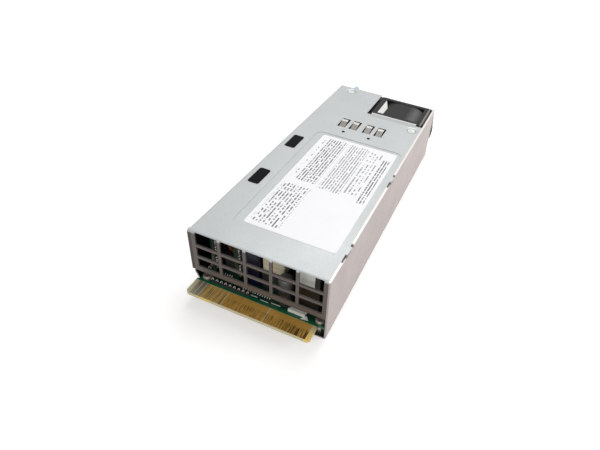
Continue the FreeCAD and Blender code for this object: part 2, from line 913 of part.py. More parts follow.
def fan_stator():
    """Wound core of the fan motor with four poles, pressed on the bearing tube."""
    y1 = fan_front - motor_plate - stator_clearance
    y0 = y1 - stator_length
    poles = []
    for turn in (0, 90):
        pole = box(fan_x - stator_radius, fan_x + stator_radius, y0, y1, fan_z - stator_pole / 2,
                   fan_z + stator_pole / 2)
        pole.rotate(V(fan_x, 0, fan_z), V(0, 1, 0), turn)
        poles.append(pole)
    core = polygon_rod(stator_radius - 2.5, 8, V(fan_x, y0, fan_z), V(fan_x, y1, fan_z))
    bore = polygon_rod(bearing_tube_radius, 8, V(fan_x, y0, fan_z), V(fan_x, y1, fan_z))
    return fuse(core, *poles).cut(bore)


def fan_magnet():
    """Ring magnet inside the hub."""
    outer = hub_radius - hub_wall
    start = V(fan_x, hub_front() - stator_length - 1.6, fan_z)
    end = start.add(V(0, stator_length + 1.0, 0))
    return polygon_rod(outer, hub_sides, start,
                       end).cut(polygon_rod(outer - magnet_wall, hub_sides, start, end))


def blade(angle):
    """One blade, twisted from a steep root to a flatter tip, with each long face folded once."""
    centre_y = hub_front() - hub_length / 2
    reach = fan_bore_radius - blade_tip_gap
    half_rise = blade_tip_chord / 2 * math.sin(math.radians(blade_tip_pitch)) + blade_thickness
    tip = math.sqrt(reach ** 2 - half_rise ** 2)
    rows = []
    for x, pitch, chord in ((hub_radius - 1.2, blade_root_pitch, blade_root_chord),
                            (tip, blade_tip_pitch, blade_tip_chord)):
        tilt = math.radians(pitch)
        run = V(0, math.cos(tilt), math.sin(tilt))
        side = V(0, -math.sin(tilt), math.cos(tilt))
        corners = []
        for along, off in ((-0.5, -0.5), (0.5, -0.5), (0.5, 0.5), (-0.5, 0.5)):
            offset = run * (along * chord) + side * (off * blade_thickness)
            corners.append(V(fan_x + x, centre_y, fan_z).add(offset))
        rows.append(corners)
    root, end = rows
    loops = [root, end]
    for index in range(4):
        after = (index + 1) % 4
        loops.append([root[index], root[after], end[after]])
        loops.append([root[index], end[after], end[index]])
    faces = [Part.Face(Part.makePolygon(loop + [loop[0]])) for loop in loops]
    body = Part.Solid(Part.makeShell(faces))
    if body.Volume < 0:
        body.reverse()
    body.rotate(V(fan_x, 0, fan_z), V(0, 1, 0), angle)
    return body


def fan_impeller():
    """Cup-shaped hub with a boss for the shaft and a ring of blades."""
    along = V(0, 1, 0)
    y1 = hub_front()
    y0 = y1 - hub_length
    cup = Part.makeCylinder(hub_radius, hub_length, V(fan_x, y0, fan_z), along)
    hollow = polygon_rod(hub_radius - hub_wall, hub_sides, V(fan_x, y0 + hub_floor, fan_z),
                         V(fan_x, y1, fan_z))
    blades = [blade(360.0 * index / blade_count) for index in range(blade_count)]
    bore = Part.makeCylinder(shaft_radius, hub_length, V(fan_x, y0 + hub_floor - shaft_hold, fan_z),
                             along)
    return cup.fuse(blades).cut([hollow, bore]).removeSplitter()


def fan_guard():
    """Finger guard: flat rings on two cross bars that end in screw eyes."""
    back, face = V(fan_x, front_y, fan_z), V(fan_x, front_y + guard_gauge, fan_z)
    parts = []
    for radius in guard_rings:
        outer = polygon_rod(radius + guard_bar / 2, guard_sides, back, face)
        parts.append(outer.cut(polygon_rod(radius - guard_bar / 2, guard_sides, back, face)))
    reach = fan_hole_pitch / 2 * math.sqrt(2)
    for turn in (45, 135):
        bar = box(fan_x - reach, fan_x + reach, front_y, front_y + guard_gauge,
                  fan_z - guard_bar / 2, fan_z + guard_bar / 2)
        bar.rotate(V(fan_x, 0, fan_z), V(0, 1, 0), turn)
        parts.append(bar)
    holes = []
    for x, z in fan_holes():
        start, run = V(x, front_y, z), V(0, guard_gauge, 0)
        parts.append(octagon(guard_eye_radius, start, run))
        holes.append(octagon(fan_hole_radius + sheet_gap, start, run))
    return fuse(*parts).cut(holes)


def fan_screws():
    """Self-tapping screws through guard, panel and fan flange."""
    seat = front_y + guard_gauge
    screws = []
    for x, z in fan_holes():
        head = polygon_rod(fan_screw_head_radius, head_sides, V(x, seat, z),
                           V(x, seat + fan_screw_head, z))
        reach = seat - fan_front + screw_in_fan
        shank = octagon(fan_hole_radius, V(x, seat - reach, z), V(0, reach, 0))
        screws.append(head.fuse(shank))
    return screws


# ---------------------------------------------------------------- mains inlet

def inlet_housing():
    """Moulded appliance inlet with its socket, flange and snap ribs."""
    x0, x1 = inlet_x - inlet_width / 2, inlet_x + inlet_width / 2
    z0, z1 = inlet_centre_z - inlet_height / 2, inlet_centre_z + inlet_height / 2
    face_y = front_y + inlet_flange
    rear = front_y - inlet_depth
    body = box(x0, x1, rear, face_y, z0, z1)
    flange = rounded_box(x0 - inlet_flange_margin + 0.3, x1 + inlet_flange_margin - 0.4, front_y, face_y,
                         z0 - inlet_flange_margin, z1 + inlet_flange_margin, 1.8, V(0, 1, 0))
    body = fuse(body, flange)
    half_w, half_h = inlet_socket_width / 2, inlet_socket_height / 2
    c = inlet_socket_chamfer
    floor_y = face_y - inlet_socket_depth
    socket = prism([V(inlet_x - half_w, floor_y, inlet_centre_z - half_h),
                    V(inlet_x + half_w, floor_y, inlet_centre_z - half_h),
                    V(inlet_x + half_w, floor_y, inlet_centre_z + half_h - c),
                    V(inlet_x + half_w - c, floor_y, inlet_centre_z + half_h),
                    V(inlet_x - half_w + c, floor_y, inlet_centre_z + half_h),
                    V(inlet_x - half_w, floor_y, inlet_centre_z + half_h - c)],
                   V(0, inlet_socket_depth + 1, 0))
    return body.cut([socket] + inlet_pins()).removeSplitter()


def inlet_pins():
    """Line, neutral and earth blades with tails that turn down into the board."""
    face_y = front_y + inlet_flange
    rear = front_y - inlet_depth
    pins = []
    for side, lift in ((-1, -blade_offset), (0, blade_offset), (1, -blade_offset)):
        x = inlet_x + side * blade_pitch / 2
        z = inlet_centre_z + lift
        blade_bar = box(x - blade_gauge / 2, x + blade_gauge / 2, rear, face_y - blade_setback,
                        z - blade_width / 2, z + blade_width / 2)
        tip = [edge for edge in blade_bar.Edges if edge.CenterOfMass.y > face_y - blade_setback - 0.1]
        blade_bar = blade_bar.makeChamfer(blade_chamfer, tip)
        tail_y = rear - tail_length
        tail = box(x - tail_width / 2, x + tail_width / 2, tail_y, rear, z - tail_gauge / 2,
                   z + tail_gauge / 2)
        drop = box(x - tail_width / 2, x + tail_width / 2, tail_y, tail_y + tail_gauge,
                   board_underside - tail_below, z + tail_gauge / 2)
        pins.append(fuse(blade_bar, tail, drop))
    return pins


# ---------------------------------------------------------------- latch, handle, light

def latch_spring():
    """Leaf spring along the left wall with the catch tooth and a neck through the panel."""
    x0, x1 = latch_left, latch_left + latch_gauge
    jog_y0 = front_y - latch_jog_start
    jog_y1 = front_y - latch_jog_end
    neck0, neck1 = latch_neck_x - latch_gauge / 2, latch_neck_x + latch_gauge / 2
    end_y = front_y + tab_start + tab_reach - tab_past_latch
    heel_y = latch_pivot_y - latch_heel
    outline = [V(x0, heel_y, 0), V(x1, heel_y, 0), V(x1, jog_y0, 0), V(neck1, jog_y1, 0),
               V(neck1, end_y, 0),
               V(neck0, end_y, 0), V(neck0, jog_y1 + 0.5, 0), V(x0, jog_y0 + 0.5, 0)]
    rise = V(0, 0, latch_height)
    strip = prism([point.add(V(0, 0, latch_low)) for point in outline], rise)
    tooth_x = left_x - latch_tooth_out
    start = tooth_y - latch_tooth_length
    tooth = prism([V(x0 + 0.1, start, latch_low), V(x0 + 0.1, tooth_y, latch_low),
                   V(tooth_x, tooth_y - 0.3, latch_low),
                   V(tooth_x, tooth_y - latch_tooth_flat, latch_low)], rise)
    half = keeper_lug / 2 + moving_gap
    hole = box(x0 - 1, x1 + 1, latch_pivot_y - half, latch_pivot_y + half,
               latch_centre_z - half, latch_centre_z + half)
    return fuse(strip, tooth).cut(hole)


def latch_keeper():
    """Welded bracket on the left wall, with a lug through the heel of the latch."""
    x0 = latch_left + latch_gauge + moving_gap
    x1 = x0 + keeper_gauge
    y0, y1 = latch_pivot_y - keeper_length / 2, latch_pivot_y + keeper_length / 2
    low, high = latch_low - keeper_leg, latch_high + keeper_leg
    strap = box(x0, x1, y0, y1, low, high)
    legs = [box(inner_left, x1, y0, y1, low, latch_low - 2 * moving_gap),
            box(inner_left, x1, y0, y1, latch_high + 2 * moving_gap, high)]
    half = keeper_lug / 2
    lug = box(inner_left, x1, latch_pivot_y - half, latch_pivot_y + half, latch_centre_z - half,
              latch_centre_z + half)
    return fuse(strap, lug, *legs)


def latch_tab():
    """Moulded thumb tab over the end of the latch."""
    y0 = front_y + tab_start
    tab = box(latch_neck_x - tab_width / 2, latch_neck_x + tab_width / 2, y0, y0 + tab_reach,
              latch_centre_z - tab_height / 2, latch_centre_z + tab_height / 2)
    end = []
    for edge in tab.Edges:
        if edge.BoundBox.YMin > y0 + tab_reach - 0.01 and edge.BoundBox.ZLength > 1:
            end.append(edge)
    tab = tab.makeFillet(tab_round, end)
    return tab.cut(latch_spring())


def handle_bail():
    """Folding pull handle: two arms and a thick rounded grip."""
    grip = box(bail_left, bail_right, grip_y - bail_grip_depth / 2, grip_y + bail_grip_depth / 2,
               bail_grip_z - bail_grip_height / 2, bail_grip_z + bail_grip_height / 2)
    grip = grip.makeFillet(bail_grip_round, [edge for edge in grip.Edges if edge.BoundBox.XLength > 1])
    arms = []
    for x0 in (bail_left, bail_right - bail_arm):
        eye = rod(bail_arm_radius, V(x0, bail_y, bail_pivot_z), V(x0 + bail_arm, bail_y, bail_pivot_z))
        bar = prism([V(x0, bail_y - bail_arm_radius, bail_pivot_z),
                     V(x0, bail_y + bail_arm_radius, bail_pivot_z),
                     V(x0, grip_y + bail_arm_radius, bail_grip_z),
                     V(x0, grip_y - bail_arm_radius, bail_grip_z)],
                    V(bail_arm, 0, 0))
        arms += [eye, bar]
    bail = fuse(grip, *arms)
    bore = rod(bail_pin_radius + running_gap, V(bail_left - 1, bail_y, bail_pivot_z),
               V(bail_right + 1, bail_y, bail_pivot_z))
    return bail.cut(bore)


def handle_pins():
    """Shoulder pins riveted in the ears, one at each end of the handle."""
    pins = []
    for ear_x, outward in zip(ear_places(), (-1, 1)):
        back = ear_x if outward > 0 else ear_x + ear_gauge
        length = ear_gauge + moving_gap + bail_arm
        start = V(back, bail_y, bail_pivot_z)
        end = V(back + outward * length, bail_y, bail_pivot_z)
        pin = rod(bail_pin_radius, start, end)
        cap_x = sorted((back - outward * pin_cap, back))
        half = bail_pin_radius + pin_cap_margin
        cap = chamfered_box(*cap_x, bail_y - half, bail_y + half, bail_pivot_z - half,
                            bail_pivot_z + half,
                            half / 2, V(1, 0, 0))
        pins.append(fuse(pin, cap))
    return pins


def status_light():
    """Light pipe through the panel, pushed in from behind."""
    return Part.makeCylinder(light_radius, light_length,
                             V(light_x, front_y + light_proud - light_length, light_z), V(0, 1, 0))


# ---------------------------------------------------------------- circuit board

def tongue_left():
    return tongue_centre_x - tongue_width / 2


def main_board():
    """Board that fills the floor, ends in the card edge and steps back from the fan."""
    x0, x1 = tongue_left(), tongue_left() + tongue_width
    tip = rear_y - tongue_reach
    root = rear_y + 0.8
    c = tongue_corner
    stop_right, stop_left = board_stop_right, board_stop_left
    step_x = fan_left - board_step_gap
    outline = [V(x0, root, 0), V(x0, tip + c, 0), V(x0 + c, tip, 0), V(x1 - c, tip, 0), V(x1, tip + c, 0),
               V(x1, root, 0), V(board_right, root, 0), V(board_right, stop_right, 0),
               V(step_x, stop_right, 0),
               V(step_x, stop_left, 0), V(board_left, stop_left, 0), V(board_left, root, 0)]
    board = prism([point.add(V(0, 0, board_underside)) for point in outline], V(0, 0, board_thickness))
    tip_edges = []
    for edge in board.Edges:
        middle = edge.CenterOfMass
        if abs(middle.y - tip) < 1e-6 and edge.BoundBox.XLength > 10:
            tip_edges.append(edge)
    board = board.makeChamfer(tongue_chamfer, tip_edges)
    cuts = []
    for x in board_screw_x:
        cuts.append(octagon(board_screw_radius + thread_gap, V(x, board_screw_y(), board_underside - 3),
                            V(0, 0, 10)))
    for pin in inlet_pins():
        box_of_tail = pin.BoundBox
        cuts.append(box(box_of_tail.Center.x - tail_width / 2 - lead_gap,
                        box_of_tail.Center.x + tail_width / 2 + lead_gap,
                        box_of_tail.YMin - lead_gap, box_of_tail.YMin + tail_gauge + lead_gap,
                        board_underside - 1, board_top + 1))
    return board.cut(cuts)


def board_screw_y():
    return rear_y + board_screw_from_rear


def edge_contacts(x0, x1, y0, y1):
    """One contact area on each face of the card edge."""
    upper = box(x0, x1, y0, y1, board_top, board_top + contact_thickness)
    lower = box(x0, x1, y0, y1, board_underside - contact_thickness, board_underside)
    return [upper, lower]


def contact_span():
    tip = rear_y - tongue_reach + contact_setback
    return tip, tip + contact_length


def contact_start():
    used = (signal_contacts + 2 * power_contacts) * contact_pitch
    return tongue_centre_x - used / 2


def signal_pads():
    y0, y1 = contact_span()
    pads = []
    for index in range(signal_contacts):
        x0 = contact_start() + index * contact_pitch + contact_gap / 2
        pads += edge_contacts(x0, x0 + contact_width, y0, y1)
    return pads


def power_pads():
    y0, y1 = contact_span()
    pads = []
    for index in range(2):
        x0 = contact_start() + (signal_contacts + index * power_contacts) * contact_pitch + contact_gap / 2
        pads += edge_contacts(x0, x0 + power_contacts * contact_pitch - contact_gap, y0, y1)
    return pads


def board_screws():
    return [pan_head_screw(x, board_screw_y(), board_top, board_screw_reach) for x in board_screw_x]


def board_standoffs():
    """Hexagonal posts between the floor and the board; the rear two are bored for the screws."""
    posts = []
    for y in (board_screw_y(), front_post_y):
        for x in board_screw_x:
            corners = []
            for corner in range(6):
                turn = math.radians(60 * corner)
                corners.append(V(x + standoff_radius * math.cos(turn),
                                 y + standoff_radius * math.sin(turn), chassis_wall))
            posts.append(prism(corners, V(0, 0, board_underside - chassis_wall)))
    holes = [octagon(board_screw_radius, V(x, board_screw_y(), board_top - board_screw_reach),
                     V(0, 0, board_screw_reach))
             for x in board_screw_x]
    return [post.cut(holes) for post in posts[:2]] + posts[2:]


def insulating_film():
    """Black film on the floor under the board, clear of the standoffs."""
    inset = standoff_radius + 0.8
    return box(min(board_screw_x) + inset, max(board_screw_x) - inset, rear_y + 1.0, board_stop_right,
               chassis_wall, chassis_wall + film_thickness)


# ---------------------------------------------------------------- parts on the board

def on_board(x, from_rear, width, length, low, high):
    """Block centred on x that starts at a distance from the rear face."""
    y0 = rear_y + from_rear
    return box(x - width / 2, x + width / 2, y0, y0 + length, board_top + low, board_top + high)


def daughter_board(x, length):
    x0 = x - daughter_thickness / 2
    y0 = rear_y + daughter_from_rear
    board = box(x0, x0 + daughter_thickness, y0, y0 + length, board_top, board_top + daughter_height)
    notch = box(x0 - 1, x0 + daughter_thickness + 1, y0 + length - notch_length, y0 + length + 1,
                board_top - 1, board_top + notch_height)
    return board.cut(notch)


def daughter_chips():
    """Packages soldered on the +X faces of both daughter boards."""
    chips = []
    for x, length in ((daughter_left_x, daughter_left_length), (daughter_right_x, daughter_right_length)):
        face = x + daughter_thickness / 2
        pitch = chip_length + chip_gap
        for index in range(int(length // pitch)):
            y0 = rear_y + daughter_from_rear + chip_gap / 2 + index * pitch
            for rise in chip_rows:
                z0 = board_top + rise
                chips.append(box(face, face + chip_depth, y0, y0 + chip_length, z0, z0 + chip_height))
    return chips


def rear_pin_header():
    """Plastic strip with a row of square pins."""
    y = rear_y + header_from_rear
    half = header_pin / 2
    last_x = header_start_x + (header_pins - 1) * header_pitch
    strip = box(header_start_x - 1, last_x + 1, y - header_strip * 0.75, y + header_strip * 0.75,
                board_top, board_top + header_strip)
    pins = []
    for index in range(header_pins):
        x = header_start_x + index * header_pitch
        pins.append(box(x - half, x + half, y - half, y + half, board_top + header_strip,
                        board_top + header_height))
    return [strip] + pins


def sense_plug():
    """Low surface-mount connector with an open slot on top."""
    plug = on_board(sense_plug_x, sense_plug_from_rear - sense_plug_depth / 2, sense_plug_width,
                    sense_plug_depth, 0, sense_plug_height)
    slot = on_board(sense_plug_x, sense_plug_from_rear - sense_slot_width / 2, sense_plug_width - 1.6,
                    sense_slot_width, sense_slot_floor, sense_plug_height + 1)
    return plug.cut(slot)


def small_can():
    place = V(small_can_x, rear_y + small_can_from_rear, board_top)
    return Part.makeCylinder(small_can_radius, small_can_height, place)


def output_cans():
    """Two rows of many-sided output capacitors behind the relay."""
    cans = []
    for row in range(output_can_rows):
        for column in range(output_can_columns):
            x = output_can_x + column * output_can_pitch
            y = rear_y + output_can_from_rear + row * output_can_pitch
            cans.append(polygon_rod(output_can_radius, can_sides, V(x, y, board_top),
                                    V(x, y, board_top + output_can_height)))
    return cans


def wound_ring(x, from_rear, z, radius, wire, turns):
    """Toroid wound with thick wire, one flat of the ring for each turn."""
    start, end = V(x, rear_y + from_rear - wire, z), V(x, rear_y + from_rear + wire, z)
    return polygon_rod(radius + wire, turns, start,
                       end).cut(polygon_rod(radius - wire, turns, start, end))


def output_choke_base():
    width = 2 * (output_choke_radius + output_choke_wire) - 1.0
    start = output_choke_from_rear - output_choke_base_length / 2
    block = on_board(output_choke_x, start, width, output_choke_base_length, 0,
                     output_choke_base_height + 1.0)
    return block.cut(output_choke())


def output_choke():
    z = board_top + output_choke_base_height + output_choke_radius + output_choke_wire
    return wound_ring(output_choke_x, output_choke_from_rear, z, output_choke_radius, output_choke_wire,
                      output_choke_turns)


def film_capacitor():
    x0, x1 = film_cap_x - film_cap_width / 2, film_cap_x + film_cap_width / 2
    y0 = rear_y + film_cap_from_rear
    return chamfered_box(x0, x1, y0, y0 + film_cap_length, board_top, board_top + film_cap_height, 0.8)


def auxiliary_base():
    body = on_board(auxiliary_x, auxiliary_from_rear, auxiliary_width, auxiliary_length, 0,
                    auxiliary_base_height)
    foot = on_board(auxiliary_x, auxiliary_from_rear - foot_margin, auxiliary_width - 3,
                    auxiliary_length + 2 * foot_margin, 0, foot_height)
    return fuse(body, foot)


def auxiliary_winding():
    x0, x1 = auxiliary_x - auxiliary_width / 2, auxiliary_x + auxiliary_width / 2
    y0 = rear_y + auxiliary_from_rear
    low = board_top + auxiliary_base_height
    return chamfered_box(x0, x1, y0, y0 + auxiliary_length, low, board_top + auxiliary_height, 1.0)


def relay_body():
    body = on_board(relay_x, relay_from_rear, relay_width, relay_length, 0, relay_height)
    top = [edge for edge in body.Edges if abs(edge.CenterOfMass.z - board_top - relay_height) < 1e-6]
    return body.makeChamfer(0.5, top)


def relay_label():
    top = relay_height - relay_label_from_top
    thickness = label_thickness
    return on_board(relay_x - relay_label_shift, relay_from_rear - thickness, relay_label_width,
                    thickness,
                    top - relay_label_height, top)


def heat_sink(x, from_rear, length, depth, height):
    """Extrusion standing on the board: a spine with fins towards -X."""
    y0 = rear_y + from_rear
    spine = box(x - sink_base, x, y0, y0 + length, board_top, board_top + height)
    pitch = (height - sink_fin) / (sink_fin_count - 1)
    fins = []
    for index in range(sink_fin_count):
        z0 = board_top + index * pitch
        fins.append(box(x - depth, x - sink_base + 0.1, y0, y0 + length, z0, z0 + sink_fin))
    return fuse(spine, *fins)


def output_heat_sink():
    return heat_sink(output_sink_x + output_sink_depth, output_sink_from_rear, output_sink_length,
                     output_sink_depth, sink_height)


def primary_heat_sink():
    return heat_sink(primary_sink_x + primary_sink_depth / 2, primary_sink_from_rear, primary_sink_length,
                     primary_sink_depth, sink_height)


def transistor(face_x, y):
    """Through-hole package flat against a heat sink, with three leads in the board."""
    z0 = board_top + transistor_lift
    body = box(face_x, face_x + transistor_depth, y - transistor_width / 2, y + transistor_width / 2,
               z0, z0 + transistor_height)
    leads = []
    for side in (-1, 0, 1):
        centre = y + side * lead_pitch
        leads.append(box(face_x + lead_setback, face_x + lead_setback + lead_gauge,
                         centre - lead_width / 2,
                         centre + lead_width / 2, board_top, z0))
    return fuse(body, *leads)


def power_transistors():
    """Packages along the flat face of the output heat sink."""
    devices = []
    face = output_sink_x + output_sink_depth
    count = int(output_sink_length // transistor_pitch)
    for index in range(count):
        y = rear_y + output_sink_from_rear + transistor_pitch / 2 + index * transistor_pitch
        devices.append(transistor(face, y))
    return devices


def transformer_core():
    """Two ferrite halves that close round the winding."""
    core = on_board(transformer_x, transformer_from_rear, transformer_width, transformer_length, 2,
                    transformer_height)
    window = on_board(transformer_x, transformer_from_rear + core_end, transformer_width + 2,
                      transformer_length - 2 * core_end, 0, transformer_height - core_end)
    half = core_leg / 2
    y0 = rear_y + transformer_from_rear + core_end - 0.2
    y1 = rear_y + transformer_from_rear + transformer_length - core_end + 0.2
    middle = board_top + transformer_height / 2
    leg = box(transformer_x - half, transformer_x + half, y0, y1, middle - half, middle + half)
    return fuse(core.cut(window), leg)


def transformer_winding():
    """Taped winding round the middle leg of the core."""
    y0 = rear_y + transformer_from_rear + core_end + 0.1
    y1 = rear_y + transformer_from_rear + transformer_length - core_end - 0.1
    half = transformer_width / 2 - 0.5
    low, high = board_top, board_top + transformer_height - core_end - 0.1
    body = chamfered_box(transformer_x - half, transformer_x + half, y0, y1, low, high, 3.0, V(0, 1, 0))
    return body.cut(transformer_core())


def bulk_capacitor():
    """Large can lying along the board."""
    return Part.makeCylinder(bulk_radius, bulk_length,
                             V(bulk_x, rear_y + bulk_from_rear, board_top + bulk_radius),
                             V(0, 1, 0))


def choke_base():
    width = 2 * (choke_radius + choke_wire)
    plate = on_board(choke_x, choke_from_rear - choke_wire - foot_margin, width - 5,
                     2 * (choke_wire + foot_margin), 0, choke_base_height + 1.2)
    return plate.cut(power_choke())


def power_choke():
    z = board_top + choke_base_height + choke_radius + choke_wire
    return wound_ring(choke_x, choke_from_rear, z, choke_radius, choke_wire, choke_turns)


def line_choke_from_rear():
    return board_stop_left - line_choke_from_stop - rear_y


def line_choke_base():
    width = 2 * (line_choke_radius + line_choke_wire)
    plate = on_board(line_choke_x, line_choke_from_rear() - 4, width - 4, 8, 0, 2.4)
    return plate.cut(line_choke())


def line_choke():
    z = board_top + 1.2 + line_choke_radius + line_choke_wire
    return wound_ring(line_choke_x, line_choke_from_rear(), z, line_choke_radius, line_choke_wire,
                      line_choke_turns)


def line_capacitor():
    x0, x1 = line_cap_x - line_cap_width / 2, line_cap_x + line_cap_width / 2
    y0 = board_stop_left - line_cap_from_stop
    return box(x0, x1, y0, y0 + line_cap_length, board_top, board_top + line_cap_height)


def line_fuse():
    """Ceramic fuse lying in its two clips."""
    y0 = rear_y + fuse_from_rear
    z = board_top + fuse_radius + 0.6
    barrel = polygon_rod(fuse_radius, fuse_sides, V(fuse_x, y0, z), V(fuse_x, y0 + fuse_length, z))
    clips = []
    for start in (y0 + fuse_clip_inset, y0 + fuse_length - fuse_clip_inset - fuse_clip_length):
        clips.append(box(fuse_x - fuse_clip_half, fuse_x + fuse_clip_half, start,
                         start + fuse_clip_length, board_top, z))
    return fuse(barrel, *clips)


save("base_chassis", base_chassis())
save("top_cover", top_cover())
save("front_panel", front_panel())
save("cover_screws", *cover_screws())
save("panel_screws", *panel_screws())
save("rating_label", rating_label())
save("cover_pads", *cover_pads())
for name, centre in zip(("ground_clip_left", "ground_clip_right"), clip_centres_x):
    save(name, ground_clip(centre))
save("fan_frame", fan_frame())
save("fan_bearing", fan_bearing())
save("fan_stator", fan_stator())
save("fan_shaft", fan_shaft())
save("fan_magnet", fan_magnet())
save("fan_impeller", fan_impeller())
save("fan_guard", fan_guard())
save("fan_screws", *fan_screws())
save("inlet_housing", inlet_housing())
save("inlet_pins", *inlet_pins())
save("latch_spring", latch_spring())
save("latch_keeper", latch_keeper())
save("latch_tab", latch_tab())
save("handle_bail", handle_bail())
save("handle_pins", *handle_pins())
save("status_light", status_light())
save("main_board", main_board())
save("signal_pads", *signal_pads())
save("power_pads", *power_pads())
save("board_screws", *board_screws())
save("board_standoffs", *board_standoffs())
save("insulating_film", insulating_film())
save("daughter_board_left", daughter_board(daughter_left_x, daughter_left_length))
save("daughter_board_right", daughter_board(daughter_right_x, daughter_right_length))
save("daughter_chips", *daughter_chips())
save("rear_pin_header", *rear_pin_header())
save("sense_plug", sense_plug())
save("small_can", small_can())
save("output_choke_base", output_choke_base())
save("output_choke", output_choke())
save("film_capacitor", film_capacitor())
save("auxiliary_base", auxiliary_base())
save("auxiliary_winding", auxiliary_winding())
save("relay_body", relay_body())
save("relay_label", relay_label())
save("output_cans", *output_cans())
save("output_heat_sink", output_heat_sink())
save("power_transistors", *power_transistors())
save("transformer_core", transformer_core())
save("transformer_winding", transformer_winding())
save("bulk_capacitor", bulk_capacitor())
save("choke_base", choke_base())
save("power_choke", power_choke())
save("primary_heat_sink", primary_heat_sink())
save("line_choke_base", line_choke_base())
save("line_choke", line_choke())
save("line_capacitor", line_capacitor())
save("line_fuse", line_fuse())
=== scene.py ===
import functools
import math

import bpy
import numpy as np
from mathutils import Matrix, Vector


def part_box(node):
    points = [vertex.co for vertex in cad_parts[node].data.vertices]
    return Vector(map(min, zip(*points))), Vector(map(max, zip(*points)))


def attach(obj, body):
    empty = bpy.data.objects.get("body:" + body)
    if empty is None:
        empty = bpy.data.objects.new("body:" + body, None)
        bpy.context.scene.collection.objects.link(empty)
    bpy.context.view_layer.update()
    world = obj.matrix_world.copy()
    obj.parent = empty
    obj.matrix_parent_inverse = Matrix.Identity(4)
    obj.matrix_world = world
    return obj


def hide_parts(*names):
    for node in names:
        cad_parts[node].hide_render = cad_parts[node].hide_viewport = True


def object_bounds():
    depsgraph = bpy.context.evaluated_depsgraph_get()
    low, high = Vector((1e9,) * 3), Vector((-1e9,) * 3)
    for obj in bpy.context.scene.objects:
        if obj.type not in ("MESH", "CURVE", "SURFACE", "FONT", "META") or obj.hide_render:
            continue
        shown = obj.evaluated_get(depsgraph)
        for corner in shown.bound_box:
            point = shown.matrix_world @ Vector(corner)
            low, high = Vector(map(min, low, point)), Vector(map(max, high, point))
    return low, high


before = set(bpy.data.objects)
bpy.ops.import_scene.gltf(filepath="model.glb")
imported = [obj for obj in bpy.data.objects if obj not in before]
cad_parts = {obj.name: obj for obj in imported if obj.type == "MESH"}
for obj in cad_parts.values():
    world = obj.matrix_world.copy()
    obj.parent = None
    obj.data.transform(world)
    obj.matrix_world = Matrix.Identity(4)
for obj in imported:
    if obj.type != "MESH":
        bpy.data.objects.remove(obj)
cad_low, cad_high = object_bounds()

# Cover: zinc-coated steel sheet, sheared, pierced and folded down at the rear as the grille. It hooks into
# the right wall and is held by two screws. The folded face is painted darker and browner than the top as
# shade, the inside is painted near black as shade, and a lip dips before the fan opening.
MM = 0.001
X, Y, Z = range(3)
origin = (0.0, 0.0, 0.0)


def corners(node):
    """Low and high corner of a CAD node's box."""
    return [np.array(corner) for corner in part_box(node)]


def shader_group(name, inputs, outputs):
    """Empty node group with inputs and outputs given as {name: type}, and its two end nodes."""
    group = bpy.data.node_groups.new(name, "ShaderNodeTree")
    for way, sockets in (("INPUT", inputs), ("OUTPUT", outputs)):
        for label, kind in sockets.items():
            group.interface.new_socket(label, in_out=way, socket_type="NodeSocket" + kind)
    return group, group.nodes.new("NodeGroupInput"), group.nodes.new("NodeGroupOutput")


def add_node(tree, kind, inputs=(), **settings):
    """Node with its properties set, and its inputs: a socket is linked, a value is set."""
    node = tree.nodes.new(kind)
    for key, value in settings.items():
        setattr(node, key, value)
    for key, value in dict(inputs).items():
        if isinstance(value, bpy.types.NodeSocket):
            tree.links.new(value, node.inputs[key])
        else:
            node.inputs[key].default_value = value
    return node


def maths(tree, operation, *values, clamp=False):
    """Output of a Math node fed with sockets or numbers."""
    return add_node(tree, "ShaderNodeMath", dict(enumerate(values)), operation=operation,
        use_clamp=clamp).outputs[0]


def grain_group():
    """Fine grain over broad clouds, both from object coordinates, the fine one stretched.

    Colour runs from the first to the second colour by contrast times the mean of grain and
    clouds; roughness is moved up and down by the same value; height is the grain alone."""
    tree, source, sink = shader_group("grain", {"Colour": "Color", "Second Colour": "Color", "Scale": "Float",
        "Stretch": "Vector", "Cloud Scale": "Float", "Contrast": "Float", "Roughness": "Float",
        "Roughness Spread": "Float"}, {"Colour": "Color", "Roughness": "Float", "Height": "Float"})
    given = source.outputs
    place = add_node(tree, "ShaderNodeTexCoord").outputs["Object"]
    stretched = add_node(tree, "ShaderNodeVectorMath", {0: place, 1: given["Stretch"]},
        operation="MULTIPLY").outputs[0]
    fine = add_node(tree, "ShaderNodeTexNoise", {"Vector": stretched, "Scale": given["Scale"],
        "Detail": 3.0}).outputs["Fac"]
    cloud = add_node(tree, "ShaderNodeTexNoise", {"Vector": place, "Scale": given["Cloud Scale"],
        "Detail": 4.0}).outputs["Fac"]
    spread = maths(tree, "SUBTRACT", maths(tree, "ADD", fine, cloud), 1.0)
    amount = maths(tree, "MULTIPLY_ADD", spread, given["Contrast"], 0.5, clamp=True)
    colour = add_node(tree, "ShaderNodeMix", {"Factor": amount, 6: given["Colour"],
        7: given["Second Colour"]}, data_type="RGBA")
    rough = maths(tree, "MULTIPLY_ADD", spread, given["Roughness Spread"], given["Roughness"], clamp=True)
    tree.links.new(colour.outputs[2], sink.inputs["Colour"])
    tree.links.new(rough, sink.inputs["Roughness"])
    tree.links.new(fine, sink.inputs["Height"])
    return tree


GRAIN = grain_group()


def srgb(red, green, blue):
    """Linear colour with alpha from 0-255 display values."""
    scaled = np.array([red, green, blue]) / 255.0
    linear = np.where(scaled <= 0.04045, scaled / 12.92, ((scaled + 0.055) / 1.055) ** 2.4)
    return (*linear.tolist(), 1.0)


